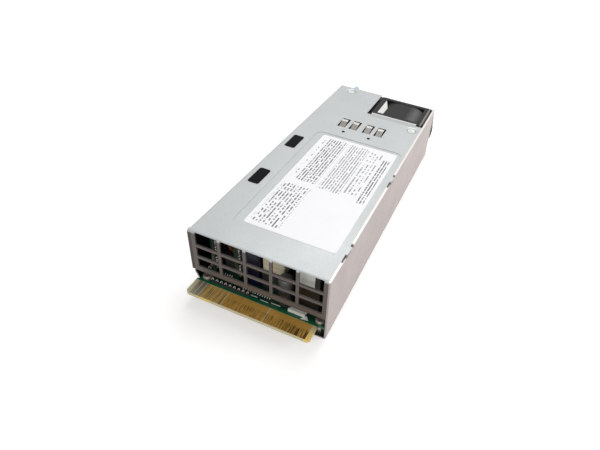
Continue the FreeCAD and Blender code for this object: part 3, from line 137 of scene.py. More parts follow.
def finish(name, colour, second, roughness=0.5, spread=0.1, metallic=0.0, scale=900, stretch=(1, 1, 1),
        cloud=60, contrast=0.6, bump=0.15, coat=0.0, specular=0.5):
    """Principled material whose colour, roughness and relief come from the grain group."""
    material = bpy.data.materials.new(name)
    material.use_nodes = True
    tree = material.node_tree
    shader = tree.nodes["Principled BSDF"]
    shader.inputs["Metallic"].default_value = metallic
    shader.inputs["Coat Weight"].default_value = coat
    shader.inputs["Specular IOR Level"].default_value = specular
    grain = add_node(tree, "ShaderNodeGroup", {"Colour": srgb(*colour), "Second Colour": srgb(*second),
        "Scale": scale, "Stretch": stretch, "Cloud Scale": cloud, "Contrast": contrast,
        "Roughness": roughness, "Roughness Spread": spread}, node_tree=GRAIN)
    relief = add_node(tree, "ShaderNodeBump", {"Strength": bump, "Distance": 0.05 * MM,
        "Height": grain.outputs["Height"]})
    tree.links.new(grain.outputs["Colour"], shader.inputs["Base Color"])
    tree.links.new(grain.outputs["Roughness"], shader.inputs["Roughness"])
    tree.links.new(relief.outputs["Normal"], shader.inputs["Normal"])
    return material


def dress(material, *nodes):
    """Gives a material to CAD nodes."""
    for node in nodes:
        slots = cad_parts[node].data.materials
        slots.clear()
        slots.append(material)


def coordinate(material, axis):
    """Object coordinate along an axis, as a socket of the material."""
    place = add_node(material.node_tree, "ShaderNodeTexCoord").outputs["Object"]
    return add_node(material.node_tree, "ShaderNodeSeparateXYZ", {0: place}).outputs[axis]


def ramp(material, axis, corner, start, end, top=1.0):
    """Mask that rises smoothly from 0 at start to top at end, which may lie on either side of
    each other; both are millimetres from a corner along the axis."""
    start, end = corner[axis] + start * MM, corner[axis] + end * MM
    return add_node(material.node_tree, "ShaderNodeMapRange", {"Value": coordinate(material, axis),
        "From Min": start, "From Max": end, "To Max": top}, interpolation_type="SMOOTHSTEP").outputs["Result"]


def above(material, axis, corner, offset=0.0):
    """Mask: 1 past a place that is an offset in millimetres from a corner along the axis."""
    return maths(material.node_tree, "GREATER_THAN", coordinate(material, axis), corner[axis] + offset * MM)


def below(material, axis, corner, offset=0.0):
    """Mask: 1 short of a place that is an offset in millimetres from a corner along the axis."""
    return maths(material.node_tree, "LESS_THAN", coordinate(material, axis), corner[axis] + offset * MM)


def overlay(material, colour, *masks):
    """Lays a colour over Base Color as far as the product of the masks says. A mask is a socket,
    a number, or a tuple of a mask function and its arguments after the material."""
    tree = material.node_tree
    target = tree.nodes["Principled BSDF"].inputs["Base Color"]
    masks = [mask[0](material, *mask[1:]) if isinstance(mask, tuple) else mask for mask in masks]
    mask = functools.reduce(lambda one, two: maths(tree, "MULTIPLY", one, two), masks)
    mix = add_node(tree, "ShaderNodeMix", {"Factor": mask, 6: target.links[0].from_socket, 7: srgb(*colour)},
        data_type="RGBA")
    tree.links.new(mix.outputs[2], target)


cover_low, cover_high = corners("top_cover")
fan_low, fan_high = corners("fan_frame")
clip_low, clip_high = corners("ground_clip_left")
cover_steel = finish("cover_steel", (186, 189, 189), (171, 174, 174), 0.46, spread=0.12, metallic=0.3,
    scale=1400, stretch=(1, 0.3, 1), cloud=45, contrast=0.9, bump=0.1)
# Painted shade: the grille face is painted darker, left light near the top bend and darkest at its left end.
grille = [(ramp, Z, cover_high, -0.7, -1.6), (ramp, Y, cover_low, 1.1, 0.15, 0.94)]
overlay(cover_steel, (90, 79, 73), *grille)
overlay(cover_steel, (58, 51, 48), *grille, (ramp, X, cover_low, 2.2, 1.5))
# Painted shade: the underside and inner faces of the cover are painted near black.
interior_shade = (15, 14, 13)
overlay(cover_steel, interior_shade, (below, Z, cover_high, -0.7), (above, Y, cover_low, 0.7),
    (above, X, -cover_high, 0.7), (below, X, cover_high, -0.7))
# Painted shade in a band before the lip, and a painted highlight on its crest.
lip = [(above, X, fan_low, 2.0), (below, X, fan_high, -4.0)]
overlay(cover_steel, (158, 160, 159), *lip, (ramp, Y, fan_low, -6.4, -4.8, 0.7))
overlay(cover_steel, (206, 207, 206), *lip, (ramp, Y, fan_low, -1.9, -1.3, 0.7))
# Painted shade on the cover's underside round the clips.
overlay(cover_steel, interior_shade, (below, Z, cover_high, -0.08), (above, Y, clip_low),
    (below, Y, clip_high, 2.0), (above, X, origin, -20), (below, X, origin, 20))
dress(cover_steel, "top_cover")

# Base chassis: one bent tray of the same sheet, floor and two walls. The right wall takes the cover's tabs.
# The top edge of the walls carries a painted highlight, the inside is painted near black as shade, and the
# rear end of the left half is painted dark as shade.
chassis_low = corners("base_chassis")[0]
chassis_steel = finish("chassis_steel", (191, 180, 177), (173, 162, 158), 0.42, spread=0.14, metallic=0.3,
    scale=1500, stretch=(1, 0.3, 1), cloud=50, contrast=0.9, bump=0.12)
# Painted highlight along the top edge of the walls.
overlay(chassis_steel, (226, 223, 220), (ramp, Z, cad_high, -2.2, -1.2, 0.85))
# Painted shade: the inside of the tray is painted near black.
overlay(chassis_steel, interior_shade, (above, X, chassis_low, 0.8), (below, X, cover_high, -0.9),
    (above, Z, origin, 0.8), (below, Z, cad_high, -2.4))
# Painted shade on the rear end of the left half of the chassis.
overlay(chassis_steel, (64, 56, 52), (below, X, origin), (ramp, Y, chassis_low, 1.6, 0.4, 0.9))
dress(chassis_steel, "base_chassis", "latch_keeper")

# Front panel: steel sheet with the cut-outs of fan, inlet, light and latch, screwed to the floor
# and under the cover.
panel_steel = finish("panel_steel", (208, 208, 206), (186, 186, 185), 0.4, spread=0.12, metallic=0.4,
    scale=1400, stretch=(0.3, 1, 1), contrast=0.8)
dress(panel_steel, "front_panel")

# Ground clips: two clips of thin spring steel under the cover, each with two fingers that arch up through
# windows. Their slopes are ribbed; their crests carry a painted highlight and their near ends painted shade.


def stripes(material, axis, pitch, limit):
    """Mask: 1 where a sine along the axis, one wave per pitch in millimetres, is over the limit."""
    tree = material.node_tree
    phase = maths(tree, "MULTIPLY", coordinate(material, axis), 2 * math.pi / (pitch * MM))
    return maths(tree, "GREATER_THAN", maths(tree, "SINE", phase), limit)


spring_steel = finish("spring_steel", (118, 114, 110), (100, 96, 92), 0.38, spread=0.12, metallic=0.35,
    scale=1600, cloud=160, contrast=0.9)
overlay(spring_steel, (92, 88, 84), (stripes, X, 0.55, 0.35), 0.35)
# Painted highlight on the crests of the fingers.
overlay(spring_steel, (198, 195, 191), (ramp, Z, clip_high, -0.28, -0.03))
# Painted shade on the near ends of the clips.
overlay(spring_steel, interior_shade, (below, Y, clip_low, 6.0))
dress(spring_steel, "ground_clip_left", "ground_clip_right")

# Latch spring: one bent leaf of bright spring steel along the left wall, held at its foot. It
# carries the latch's tooth and, at the front, the tab.
latch_steel = finish("latch_steel", (196, 190, 186), (160, 153, 149), 0.32, spread=0.14, metallic=0.7,
    scale=1200, stretch=(1, 0.2, 1), cloud=160, contrast=0.9)
dress(latch_steel, "latch_spring")

# Countersunk screws of the cover and the underside: zinc-plated, driven flush in their dimples,
# with a cross recess.


def mesh_piece(name, parts, material, slot, *standing_for, body="enclosure", smooth=True):
    """Object at the origin from (points, faces) parts; it rides on a body and may stand for CAD
    nodes. Edges sharper than 35 degrees stay crisp."""
    points, faces, offset = [], [], 0
    for part_points, part_faces in parts:
        points.append(np.asarray(part_points, float))
        faces += [[index + offset for index in face] for face in part_faces]
        offset += len(part_points)
    mesh = bpy.data.meshes.new(name)
    mesh.from_pydata(np.vstack(points).tolist(), [], faces)
    mesh.polygons.foreach_set("use_smooth", np.full(len(mesh.polygons), smooth))
    if smooth:
        mesh.set_sharp_from_angle(angle=math.radians(35))
    mesh.materials.append(material)
    mesh.update()
    piece = bpy.data.objects.new(name, mesh)
    bpy.context.scene.collection.objects.link(piece)
    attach(piece, body)
    if standing_for:
        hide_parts(*standing_for)


def grid_faces(rows, columns, wrap_rows=False):
    """Quads of a grid of points whose rows are closed rings; the last row joins the first if asked."""
    i, j = np.meshgrid(np.arange(rows if wrap_rows else rows - 1), np.arange(columns), indexing="ij")
    i, j = i.ravel(), j.ravel()
    next_i, next_j = (i + 1) % rows, (j + 1) % columns
    return np.stack([i * columns + j, i * columns + next_j, next_i * columns + next_j, next_i * columns + j],
        1).tolist()


def plane_of(axis):
    """Two unit directions square to an axis; first x second = axis."""
    axis = np.array(axis, float)
    helper = np.array([0.0, 0, 1]) if abs(axis[2]) < 0.9 else np.array([1.0, 0, 0])
    first = np.cross(helper, axis)
    first /= np.linalg.norm(first)
    return first, np.cross(axis, first)


def full_turn(count):
    """Angles of a full turn, its end left out."""
    return np.linspace(0, 2 * math.pi, count, endpoint=False)


def turned(profile, centre, axis, sides=48, recess=None):
    """Surface turned round an axis: each (radius, height) of the profile becomes the circle
    centre + height * axis + radius * (cos a * first + sin a * second). A profile that starts and
    ends on the axis is closed by fans, any other is joined end to start as a ring.

    recess = (radius, depth) sinks a cross in the last face: a point is in the cross where its
    smaller coordinate is under the slot's half width and its larger one under the slot's reach."""
    profile, axis, centre = np.array(profile, float), np.array(axis, float), np.array(centre, float)
    first, second = plane_of(axis)
    turn = full_turn(sides)
    ring = np.cos(turn)[:, None] * first + np.sin(turn)[:, None] * second
    if recess is None and profile[0, 0] > 0:
        points = centre + profile[:, 1, None, None] * axis + profile[:, 0, None, None] * ring[None]
        return points.reshape(-1, 3), grid_faces(len(profile), sides, wrap_rows=True)
    body, top = profile[1:-1], profile[-1, 1]
    heights = np.repeat(body[:, 1, None], sides, 1)
    radii = np.repeat(body[:, 0, None], sides, 1)
    if recess is not None:
        reach = np.linspace(1.0, 0.06, 15)[:, None] * recess[0]
        x, y = reach * np.cos(turn), reach * np.sin(turn)
        small, large = np.minimum(abs(x), abs(y)), np.maximum(abs(x), abs(y))
        slot = (np.clip((0.2 * recess[0] - small) / (0.06 * recess[0]), 0, 1)
            * np.clip((0.8 * recess[0] - large) / (0.1 * recess[0]), 0, 1))
        heights = np.vstack([heights, top - recess[1] * slot])
        radii = np.vstack([radii, np.repeat(reach, sides, 1)])
        top -= recess[1]
    points = centre + heights[..., None] * axis + radii[..., None] * ring[None]
    ends = centre + np.array([profile[0, 1], top])[:, None] * axis
    rows = len(heights)
    j = np.arange(sides)
    after, start, last = (j + 1) % sides, rows * sides, (rows - 1) * sides
    faces = grid_faces(rows, sides) + np.stack([np.full(sides, start), after, j], 1).tolist()
    faces += np.stack([np.full(sides, start + 1), last + j, last + after], 1).tolist()
    return np.vstack([points.reshape(-1, 3), ends]), faces


def separate_boxes(node, axis, gap=1.0 * MM):
    """Boxes of a node's solids: its points are sorted along an axis and split where they leave a gap."""
    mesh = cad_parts[node].data
    points = np.zeros(len(mesh.vertices) * 3)
    mesh.vertices.foreach_get("co", points)
    points = points.reshape(-1, 3)
    points = points[np.argsort(points[:, axis])]
    breaks = np.where(np.diff(points[:, axis]) > gap)[0] + 1
    return [(part.min(0), part.max(0)) for part in np.split(points, breaks)]


def flat_screw(low, high, up):
    """Countersunk screw in its solid's box: shank, cone, flat face with a cross recess."""
    middle, length, radius = (low + high) / 2, high[2] - low[2], (high[0] - low[0]) / 2
    centre = (middle[0], middle[1], high[2] if up > 0 else low[2])
    profile = [(0, -length), (1.2 * MM, -length), (1.45 * MM, -length + 0.3 * MM), (1.45 * MM, -1.0 * MM),
        (radius * 0.98, -0.1 * MM), (radius * 0.95, 0), (0, 0)]
    return turned(profile, centre, (0, 0, up), recess=(0.72 * radius, 0.45 * MM))


def near(material, centre, radius):
    """Mask: 1 where the point, seen from above, lies within the radius of the centre."""
    tree = material.node_tree
    flat = add_node(tree, "ShaderNodeCombineXYZ", {0: coordinate(material, X), 1: coordinate(material, Y)})
    gap = add_node(tree, "ShaderNodeVectorMath", {0: flat.outputs[0], 1: (centre[0], centre[1], 0.0)},
        operation="DISTANCE")
    return maths(tree, "LESS_THAN", gap.outputs["Value"], radius)


screw_steel = finish("screw_steel", (226, 226, 224), (206, 205, 202), 0.36, spread=0.08, metallic=0.35,
    scale=2500, cloud=500, contrast=0.4, bump=0.05)
cover_screw_boxes = separate_boxes("cover_screws", Y)
for low, high in cover_screw_boxes:
    # Painted shade in the dimple round each cover screw.
    overlay(cover_steel, (112, 113, 112), (near, (low + high) / 2, 3.0 * MM), 0.8)
mesh_piece("cover_screws_turned", [flat_screw(*box, 1) for box in cover_screw_boxes], screw_steel,
    "screw_steel", "cover_screws")
mesh_piece("panel_screws_turned", [flat_screw(*box, -1) for box in separate_boxes("panel_screws", X)],
    screw_steel, "screw_steel", "panel_screws")

# Label: white coated stock in a shallow recess of the cover. Its print is generic: rows of small
# grey dashes, and a bare field beside the rear where marks would be.
label_low, label_high = corners("rating_label")


def print_group():
    """Rows of dashes: rows repeat along one coordinate, and a noise along the other breaks each
    row into words. The mask is 1 where ink lies."""
    inputs = ("Row", "Along", "Rows Per Metre", "Words Per Metre", "Ink Share", "Word Share")
    tree, source, sink = shader_group("dash_print", dict.fromkeys(inputs, "Float"), {"Mask": "Float"})
    given = source.outputs
    rows = maths(tree, "MULTIPLY", given["Row"], given["Rows Per Metre"])
    inked = maths(tree, "LESS_THAN", maths(tree, "FRACT", rows), given["Ink Share"])
    words = maths(tree, "MULTIPLY", given["Along"], given["Words Per Metre"])
    row_seed = maths(tree, "MULTIPLY", maths(tree, "FLOOR", rows), 7.31)
    cell = add_node(tree, "ShaderNodeCombineXYZ", {0: words, 1: row_seed}).outputs[0]
    noise = add_node(tree, "ShaderNodeTexNoise", {"Vector": cell, "Scale": 1.0, "Detail": 1.0}).outputs["Fac"]
    mask = maths(tree, "MULTIPLY", inked, maths(tree, "LESS_THAN", noise, given["Word Share"]))
    tree.links.new(mask, sink.inputs["Mask"])
    return tree


PRINT = print_group()
label_white = finish("label_white", (247, 247, 248), (240, 240, 242), 0.45, spread=0.06, scale=2500,
    cloud=120, bump=0.03)


def label_block(across, along, rows, words, ink, word_share, colour):
    """Printed block; its limits are shares of the label's width and length from the rear left."""
    values = (coordinate(label_white, X), coordinate(label_white, Y), rows, words, ink, word_share)
    printed = add_node(label_white.node_tree, "ShaderNodeGroup", dict(enumerate(values)), node_tree=PRINT)
    masks = [printed.outputs["Mask"]]
    for axis, shares in ((X, across), (Y, along)):
        start, end = (share * (label_high[axis] - label_low[axis]) / MM for share in shares)
        masks += [(above, axis, label_low, start), (below, axis, label_low, end)]
    overlay(label_white, colour, *masks)


light_ink, dark_ink = (150, 151, 155), (92, 93, 97)
label_block((0.04, 0.36), (0.03, 0.41), 560, 700, 0.42, 0.52, dark_ink)
label_block((0.04, 0.10), (0.47, 0.95), 560, 500, 0.40, 0.40, light_ink)
label_block((0.12, 0.36), (0.46, 0.97), 600, 900, 0.46, 0.56, dark_ink)
label_block((0.40, 0.66), (0.44, 0.97), 620, 800, 0.44, 0.58, light_ink)
label_block((0.69, 0.84), (0.47, 0.95), 480, 600, 0.42, 0.50, light_ink)
label_block((0.87, 0.96), (0.42, 0.90), 620, 800, 0.46, 0.58, dark_ink)
dress(label_white, "rating_label")

# Cover pads and the sheet under the board: black insulating film, cut flat. The pads are stuck
# on the cover, the sheet is laid on the floor.
film_black = finish("film_black", (9, 9, 10), (16, 16, 17), 0.6, scale=2500, cloud=300, specular=0.05)
dress(film_black, "cover_pads", "insulating_film")

# Fan: moulded black frame whose barrel, round inside and square-shouldered outside, runs between two square
# flanges. A bright strip from the left posts to the barrel stands in for a painted reflection, and the
# frame's right edge and the barrel's right shoulder carry painted highlights and shade.
fan_black = finish("fan_black", (28, 28, 27), (22, 22, 21), scale=4000, cloud=260, bump=0.2, specular=0.16)
fan_middle, fan_half = (fan_low + fan_high) / 2, (fan_high[0] - fan_low[0]) / 2
# Painted highlight along the right edge of the frame's top, and painted shade in the gap just beyond it.
fan_top = (above, Z, fan_high, -0.8)
overlay(fan_black, (156, 156, 154), fan_top, (ramp, X, fan_high, -2.9, -2.0, 0.75))
overlay(fan_black, (8, 8, 8), fan_top, (ramp, X, fan_high, -1.7, -1.2))
# Painted highlight on the right shoulder of the barrel.
overlay(fan_black, (104, 104, 103), (ramp, X, fan_middle, 3.5, 11, 0.8), (above, Z, fan_middle, 8),
    (below, Z, fan_high, -0.1), (above, Y, fan_low, 3.0), (below, Y, fan_high, -3.0))
dress(fan_black, "fan_frame")


def foot_of(low, high, axis):
    """Middle of a box's face at the low end of an axis."""
    foot = (low + high) / 2
    foot[axis] = low[axis]
    return foot


barrel_radius, barrel_sides = fan_half - 0.18 * MM, 96
bore_radius = barrel_radius - 0.6 * MM
barrel_near, barrel_far = 3.0 * MM, fan_high[1] - fan_low[1] - 3.0 * MM
barrel_points, barrel_faces = turned([(barrel_radius, barrel_near), (barrel_radius, barrel_far),
    (bore_radius, barrel_far), (bore_radius, barrel_near)], foot_of(fan_low, fan_high, Y), (0, 1, 0),
    barrel_sides)
outer, plan = 2 * barrel_sides, [X, Z]
away = (barrel_points[:outer, plan] - fan_middle[plan]) / barrel_radius
squared = (abs(away) ** 3).sum(1) ** (-1 / 3)
barrel_points[:outer, plan] = fan_middle[plan] + barrel_radius * squared[:, None] * away
mesh_piece("fan_barrel", [(barrel_points, barrel_faces)], fan_black, "fan_black")


def capped_faces(rows, columns):
    """Quads of a grid whose rows are closed rings, and a face over each end."""
    last = (rows - 1) * columns
    return grid_faces(rows, columns) + [list(range(columns))[::-1], list(range(last, last + columns))]


# A pale sheet from the left posts to the barrel stands in for a painted reflection.
reflection_paint = finish("fan_painted_reflection", (226, 225, 220), (208, 207, 203), 0.3, spread=0.08, metallic=0.2, scale=1500)
reflection_left, reflection_right = fan_low[0] + 5.0 * MM, fan_low[0] + 8.9 * MM
reflection_near, reflection_far = fan_low[1] + 3.0 * MM, fan_high[1] - 3.0 * MM
post_top, shoulder = fan_high[2] - 0.25 * MM, fan_middle[2] + 0.95 * barrel_radius
reflection_top = np.array([(reflection_left, reflection_near, post_top), (reflection_right, reflection_near, shoulder),
    (reflection_right, reflection_far - 10 * MM, shoulder), (reflection_left, reflection_far, post_top)])
reflection_points = np.vstack([reflection_top - (0, 0, 0.12 * MM), reflection_top])
mesh_piece("fan_reflection_strip", [(reflection_points, capped_faces(2, 4))], reflection_paint, "label_white", smooth=False)

# Fan motor and impeller: moulded hub with seven twisted blades on a steel shaft in a sleeve,
# wound stator and ring magnet inside the hub.
blade_black = finish("blade_black", (34, 34, 35), (24, 24, 25), 0.36, scale=3000, cloud=200, specular=0.3)
bearing_steel = finish("bearing_steel", (205, 205, 207), (170, 170, 172), 0.2, spread=0.06, metallic=0.9,
    scale=1500)
copper = finish("copper_winding", (138, 78, 44), (94, 49, 28), 0.32, metallic=0.7, scale=700,
    stretch=(1, 6, 1), contrast=0.9)
ferrite = finish("ferrite_grey", (66, 66, 68), (48, 48, 50), 0.6, scale=1400)
dress(bearing_steel, "fan_bearing", "fan_shaft")
dress(copper, "fan_stator")
dress(ferrite, "fan_magnet", "transformer_core")
hub_low, hub_high = corners("fan_impeller")
hub_radius, hub_bore, hub_floor = 10.6 * MM, 9.4 * MM, 2.2 * MM
blade_count, blade_tip = 7, (hub_high[2] - hub_low[2]) / 2
hub_length = hub_high[1] - hub_low[1]
hub_profile = [(0, 0.3 * MM), (5.0 * MM, 0.3 * MM), (5.3 * MM, 0), (hub_radius - 0.9 * MM, 0),
    (hub_radius - 0.25 * MM, 0.25 * MM), (hub_radius, 0.9 * MM), (hub_radius, hub_length),
    (hub_bore, hub_length), (hub_bore, hub_floor), (0, hub_floor)]


def fan_blade(angle, rows=12, columns=24):
    """Twisted blade. Row by row from root to tip, a closed loop runs up one side and down the
    other: chord position c, thickness t * sqrt(1 - (2c)^2), camber h * (1 - (2c)^2). The offset
    across the axis is wrapped round the axis at the row's radius."""
    out = np.linspace(0, 1, rows)[:, None]
    radius = hub_radius - 1.0 * MM + out * (blade_tip - hub_radius + 1.0 * MM)
    pitch = np.radians(40 + 20 * out)
    chord = (12.5 + 1.0 * out) * MM
    loop = full_turn(columns)[None]
    c = 0.5 * np.cos(loop)
    lift = 0.55 * MM * np.sin(loop) + 1.1 * MM * (1 - 4 * c ** 2)
    along = c * chord * np.cos(pitch) - lift * np.sin(pitch)
    across = c * chord * np.sin(pitch) + lift * np.cos(pitch)
    turn = angle + across / radius
    middle = (hub_low[1] + hub_high[1]) / 2
    points = np.stack([fan_middle[0] + radius * np.cos(turn), middle + along,
        fan_middle[2] + radius * np.sin(turn)], -1)
    return points.reshape(-1, 3), capped_faces(rows, columns)


blades = [fan_blade(angle) for angle in full_turn(blade_count)]
hub = turned(hub_profile, (fan_middle[0], hub_low[1], fan_middle[2]), (0, 1, 0), sides=72)
mesh_piece("fan_impeller_moulded", [hub] + blades, blade_black, "fan_blade_black", "fan_impeller",
    body="rotor")

# Finger guard: round wire rings welded on a wire cross, enamelled black, held by four pan-head
# screws through its eyes.
guard_enamel = finish("guard_steel", (40, 40, 41), (28, 28, 29), 0.35, scale=1500, cloud=300, coat=0.2)
guard_low, guard_high = corners("fan_guard")
guard_middle = (guard_low + guard_high) / 2
wire_radius = (guard_high[1] - guard_low[1]) / 2


def tube(path, radius, beside, sides=12, closed=True):
    """Round wire: at each point of the path a circle of the radius, square to the path, counted
    from the direction beside, with that part of it which runs along the path taken off."""
    path = np.asarray(path, float)
    ahead = np.roll(path, -1, 0) - np.roll(path, 1, 0)
    if not closed:
        ahead[0], ahead[-1] = path[1] - path[0], path[-1] - path[-2]
    ahead /= np.linalg.norm(ahead, axis=1)[:, None]
    beside = np.broadcast_to(np.asarray(beside, float), path.shape)
    first = beside - np.sum(beside * ahead, 1)[:, None] * ahead
    first /= np.linalg.norm(first, axis=1)[:, None]
    second = np.cross(ahead, first)
    turn = full_turn(sides)[None, :, None]
    points = path[:, None] + radius * (np.cos(turn) * first[:, None] + np.sin(turn) * second[:, None])
    faces = grid_faces(len(path), sides, wrap_rows=True) if closed else capped_faces(len(path), sides)
    return points.reshape(-1, 3), faces


def circle(centre, radius, count=72):
    """Points of a circle in the plane of X and Z."""
    turn = full_turn(count)
    return np.array(centre) + radius * np.stack([np.cos(turn), np.zeros(count), np.sin(turn)], 1)


def pan_screw(low, high, axis, head):
    """Pan-head screw in its solid's box along an axis, with a cross recess in the head."""
    shank, radius, length = 1.4 * MM, (high[0] - low[0]) / 2, high[axis] - low[axis]
    profile = [(0, 0), (0.75 * shank, 0), (shank, 0.5 * MM), (shank, length - head), (radius, length - head),
        (radius, length - 0.6 * head), (0.9 * radius, length - 0.2 * head), (0.72 * radius, length),
        (0, length)]
    return turned(profile, foot_of(low, high, axis), np.eye(3)[axis], recess=(0.66 * radius, 0.55 * head))


eye_radius, ring_radii = 2.3 * MM, (8.2 * MM, 14.0 * MM)
screw_boxes = []
for low, high in separate_boxes("fan_screws", X):
    shift = (0, 0, high[2] - low[2] - (high[0] - low[0]))
    screw_boxes += [(low, high - shift), (low + shift, high)]
guard_parts = [tube(circle(guard_middle, radius), wire_radius * 0.98, (0, 1, 0)) for radius in ring_radii]
for low, high in screw_boxes:
    middle = (low + high) / 2
    eye = np.array([middle[0], guard_middle[1], middle[2]])
    inward = (guard_middle - eye) / np.linalg.norm(guard_middle - eye)
    guard_parts.append(tube(circle(eye, eye_radius, 40), wire_radius * 0.98, (0, 1, 0)))
    guard_parts.append(tube(np.linspace(guard_middle, eye + inward * eye_radius, 6), wire_radius * 0.95,
        (0, 1, 0), closed=False))
fan_screws = [pan_screw(*box, Y, 0.9 * MM) for box in screw_boxes]
mesh_piece("fan_guard_wire", guard_parts, guard_enamel, "guard_steel", "fan_guard")
mesh_piece("fan_screws_turned", fan_screws, screw_steel, "screw_steel", "fan_screws")

# Mains inlet: black moulding with a fine texture, snapped in the panel. Its blades, like the
# standoffs of the board, are plated brass.
inlet_black = finish("inlet_black", (28, 28, 29), (18, 18, 19), scale=4000, cloud=300, bump=0.3, specular=0.3)
plated_brass = finish("plated_brass", (206, 200, 184), (170, 160, 138), 0.25, metallic=0.9, scale=1200,
    cloud=400)
dress(inlet_black, "inlet_housing")
dress(plated_brass, "inlet_pins", "board_standoffs")

# Latch tab: light blue moulding on the end of the latch spring, thumb-sized, with five low
# ridges across its sides.
tab_blue = finish("tab_blue", (182, 206, 234), (166, 194, 226), 0.35, scale=2500, cloud=240, contrast=0.5,
    bump=0.1, coat=0.15)


def moulded(low, high, axis, power=8.0, rim=0.5 * MM, waist=None, rows=2, columns=48):
    """Closed form that fills a box. Across one axis its sections are superellipses
    |u / a| ** power + |v / b| ** power = 1; near both ends they are drawn in by a quarter round
    of radius rim, and waist(share of the length) may thin the first half width a."""
    low, high = np.asarray(low, float), np.asarray(high, float)
    one, two = (axis + 1) % 3, (axis + 2) % 3
    middle, half = (low + high) / 2, (high - low) / 2
    bend = np.linspace(0, math.pi / 2, 5)
    near_end = rim * (1 - np.cos(bend))
    inside = np.linspace(rim, 2 * half[axis] - rim, rows)[1:-1]
    place = np.concatenate([near_end, inside, 2 * half[axis] - near_end[::-1]])
    inset = rim * (1 - np.sin(np.concatenate([bend, np.full(len(inside), math.pi / 2), bend[::-1]])))
    thin = np.ones(len(place)) if waist is None else waist(place / (2 * half[axis]))
    turn = full_turn(columns) + math.pi / columns
    section = [np.sign(wave) * abs(wave) ** (2 / power) for wave in (np.cos(turn), np.sin(turn))]
    points = np.zeros((len(place), columns, 3))
    points[..., axis] = low[axis] + place[:, None]
    points[..., one] = middle[one] + ((half[one] - inset) * thin)[:, None] * section[0]
    points[..., two] = middle[two] + (half[two] - inset)[:, None] * section[1]
    return points.reshape(-1, 3), capped_faces(len(place), columns)


def tab_ridges(share):
    """Thins the tab by 8 percent in five valleys between 25 and 85 percent of its length."""
    along = (share - 0.25) / 0.6
    return 1 - 0.08 * np.where((along > 0) & (along < 1), 0.5 - 0.5 * np.cos(2 * math.pi * 5 * along), 0)


tab = moulded(*corners("latch_tab"), Y, power=3.2, rim=1.7 * MM, rows=70, waist=tab_ridges)
mesh_piece("latch_tab_moulded", [tab], tab_blue, "tab_blue", "latch_tab", body="latch")

# Folding handle: dark moulded bail, a thick grip between two flat arms that swing on riveted
# steel pins.
handle_dark = finish("handle_dark", (62, 66, 64), (48, 51, 50), spread=0.12, scale=4000, cloud=240, bump=0.3)
handle_low, handle_high = corners("handle_bail")
pin_low, pin_high = corners("handle_pins")
grip_depth, grip_height, arm_gauge, arm_half = 8.6 * MM, 9.6 * MM, 2.0 * MM, 2.5 * MM
pivot = (pin_low + pin_high) / 2
grip_low = np.array([handle_low[0], handle_high[1] - grip_depth, handle_low[2]])
grip_high = np.array([handle_high[0], handle_high[1], handle_low[2] + grip_height])
grip_middle = (grip_low + grip_high) / 2


def grip_waist(share):
    """Thins the grip by up to 5 percent as a squared sine between 10 and 90 percent of its length."""
    return 1 - 0.05 * np.sin(math.pi * np.clip((share - 0.1) / 0.8, 0, 1)) ** 2


bail_parts = [moulded(grip_low, grip_high, X, power=3.6, rim=1.2 * MM, rows=60, waist=grip_waist)]
for arm_x in (handle_low[0] + arm_gauge / 2, handle_high[0] - arm_gauge / 2):
    eye, foot = np.array([arm_x, *pivot[1:]]), np.array([arm_x, *grip_middle[1:]])
    run = (eye - foot) / np.linalg.norm(eye - foot)
    bend = np.linspace(0, math.pi / 2, 9)
    arm_path = np.vstack([foot, foot + 0.5 * (eye - foot), eye + np.sin(bend)[:-1, None] * arm_half * run])
    arm_width = np.concatenate([[arm_half, arm_half], arm_half * np.cos(bend)[:-1]])
    reach = arm_width[:, None] * np.cross(run, (1.0, 0, 0))
    offsets = np.vstack([reach, -reach[::-1]])
    centre_line = np.vstack([arm_path, arm_path[::-1]])
    rows = [centre_line + offsets * share + np.array([side * arm_gauge, 0, 0])
        for side, share in ((-0.5, 0.9), (-0.42, 1.0), (0.42, 1.0), (0.5, 0.9))]
    bail_parts.append((np.vstack(rows), capped_faces(len(rows), len(offsets))))
mesh_piece("handle_bail_moulded", bail_parts, handle_dark, "handle_dark", "handle_bail", body="handle")
dress(screw_steel, "handle_pins")

# Status light: moulded light pipe of clear, green-tinted plastic, pushed through a hole of the
# panel.
light_pipe = finish("light_pipe", (176, 222, 170), (150, 205, 150), 0.15, spread=0.05, coat=0.5)
dress(light_pipe, "status_light")

# Main board: green solder mask over glass laminate, with fine tracks under the mask. The card
# edge has none: its chamfered tip bares the cream laminate, and gold shows at the right end and
# between the signal contacts.
board_low, board_high = corners("main_board")
pads_low, pads_high = corners("power_pads")
signal_low = corners("signal_pads")[0]
mask_start = (pads_high[Y] - board_low[Y]) / MM + 0.2
board_green = finish("board_green", (2, 92, 58), (0, 74, 46), 0.35, cloud=260, contrast=0.9, coat=0.2)
board_place = add_node(board_green.node_tree, "ShaderNodeTexCoord").outputs["Object"]
tracks = add_node(board_green.node_tree, "ShaderNodeTexBrick",
    {"Vector": board_place, "Scale": 260.0, "Mortar Size": 0.03}, offset=0.37)
overlay(board_green, (16, 128, 84), tracks.outputs["Fac"], 0.5)
# Painted shade: the board is painted darker away from the rear edge, inside the case.
overlay(board_green, (4, 30, 21), (ramp, Y, chassis_low, 0.5, 3, 0.85))
overlay(board_green, (196, 188, 150), (above, Y, board_low, -1), (below, Y, board_low, mask_start))
overlay(board_green, (214, 203, 162), (above, Y, board_low, -1), (below, Y, board_low, 0.62))
overlay(board_green, (250, 214, 118), (ramp, X, board_high, -6.5, -5.2), (ramp, Y, board_low, mask_start, 2))
overlay(board_green, (250, 210, 104), (above, X, signal_low, 5.6), (below, X, signal_low, 12),
    (ramp, Y, board_low, 0.7, 0.5, 0.8))
dress(board_green, "main_board", "daughter_board_left", "daughter_board_right")

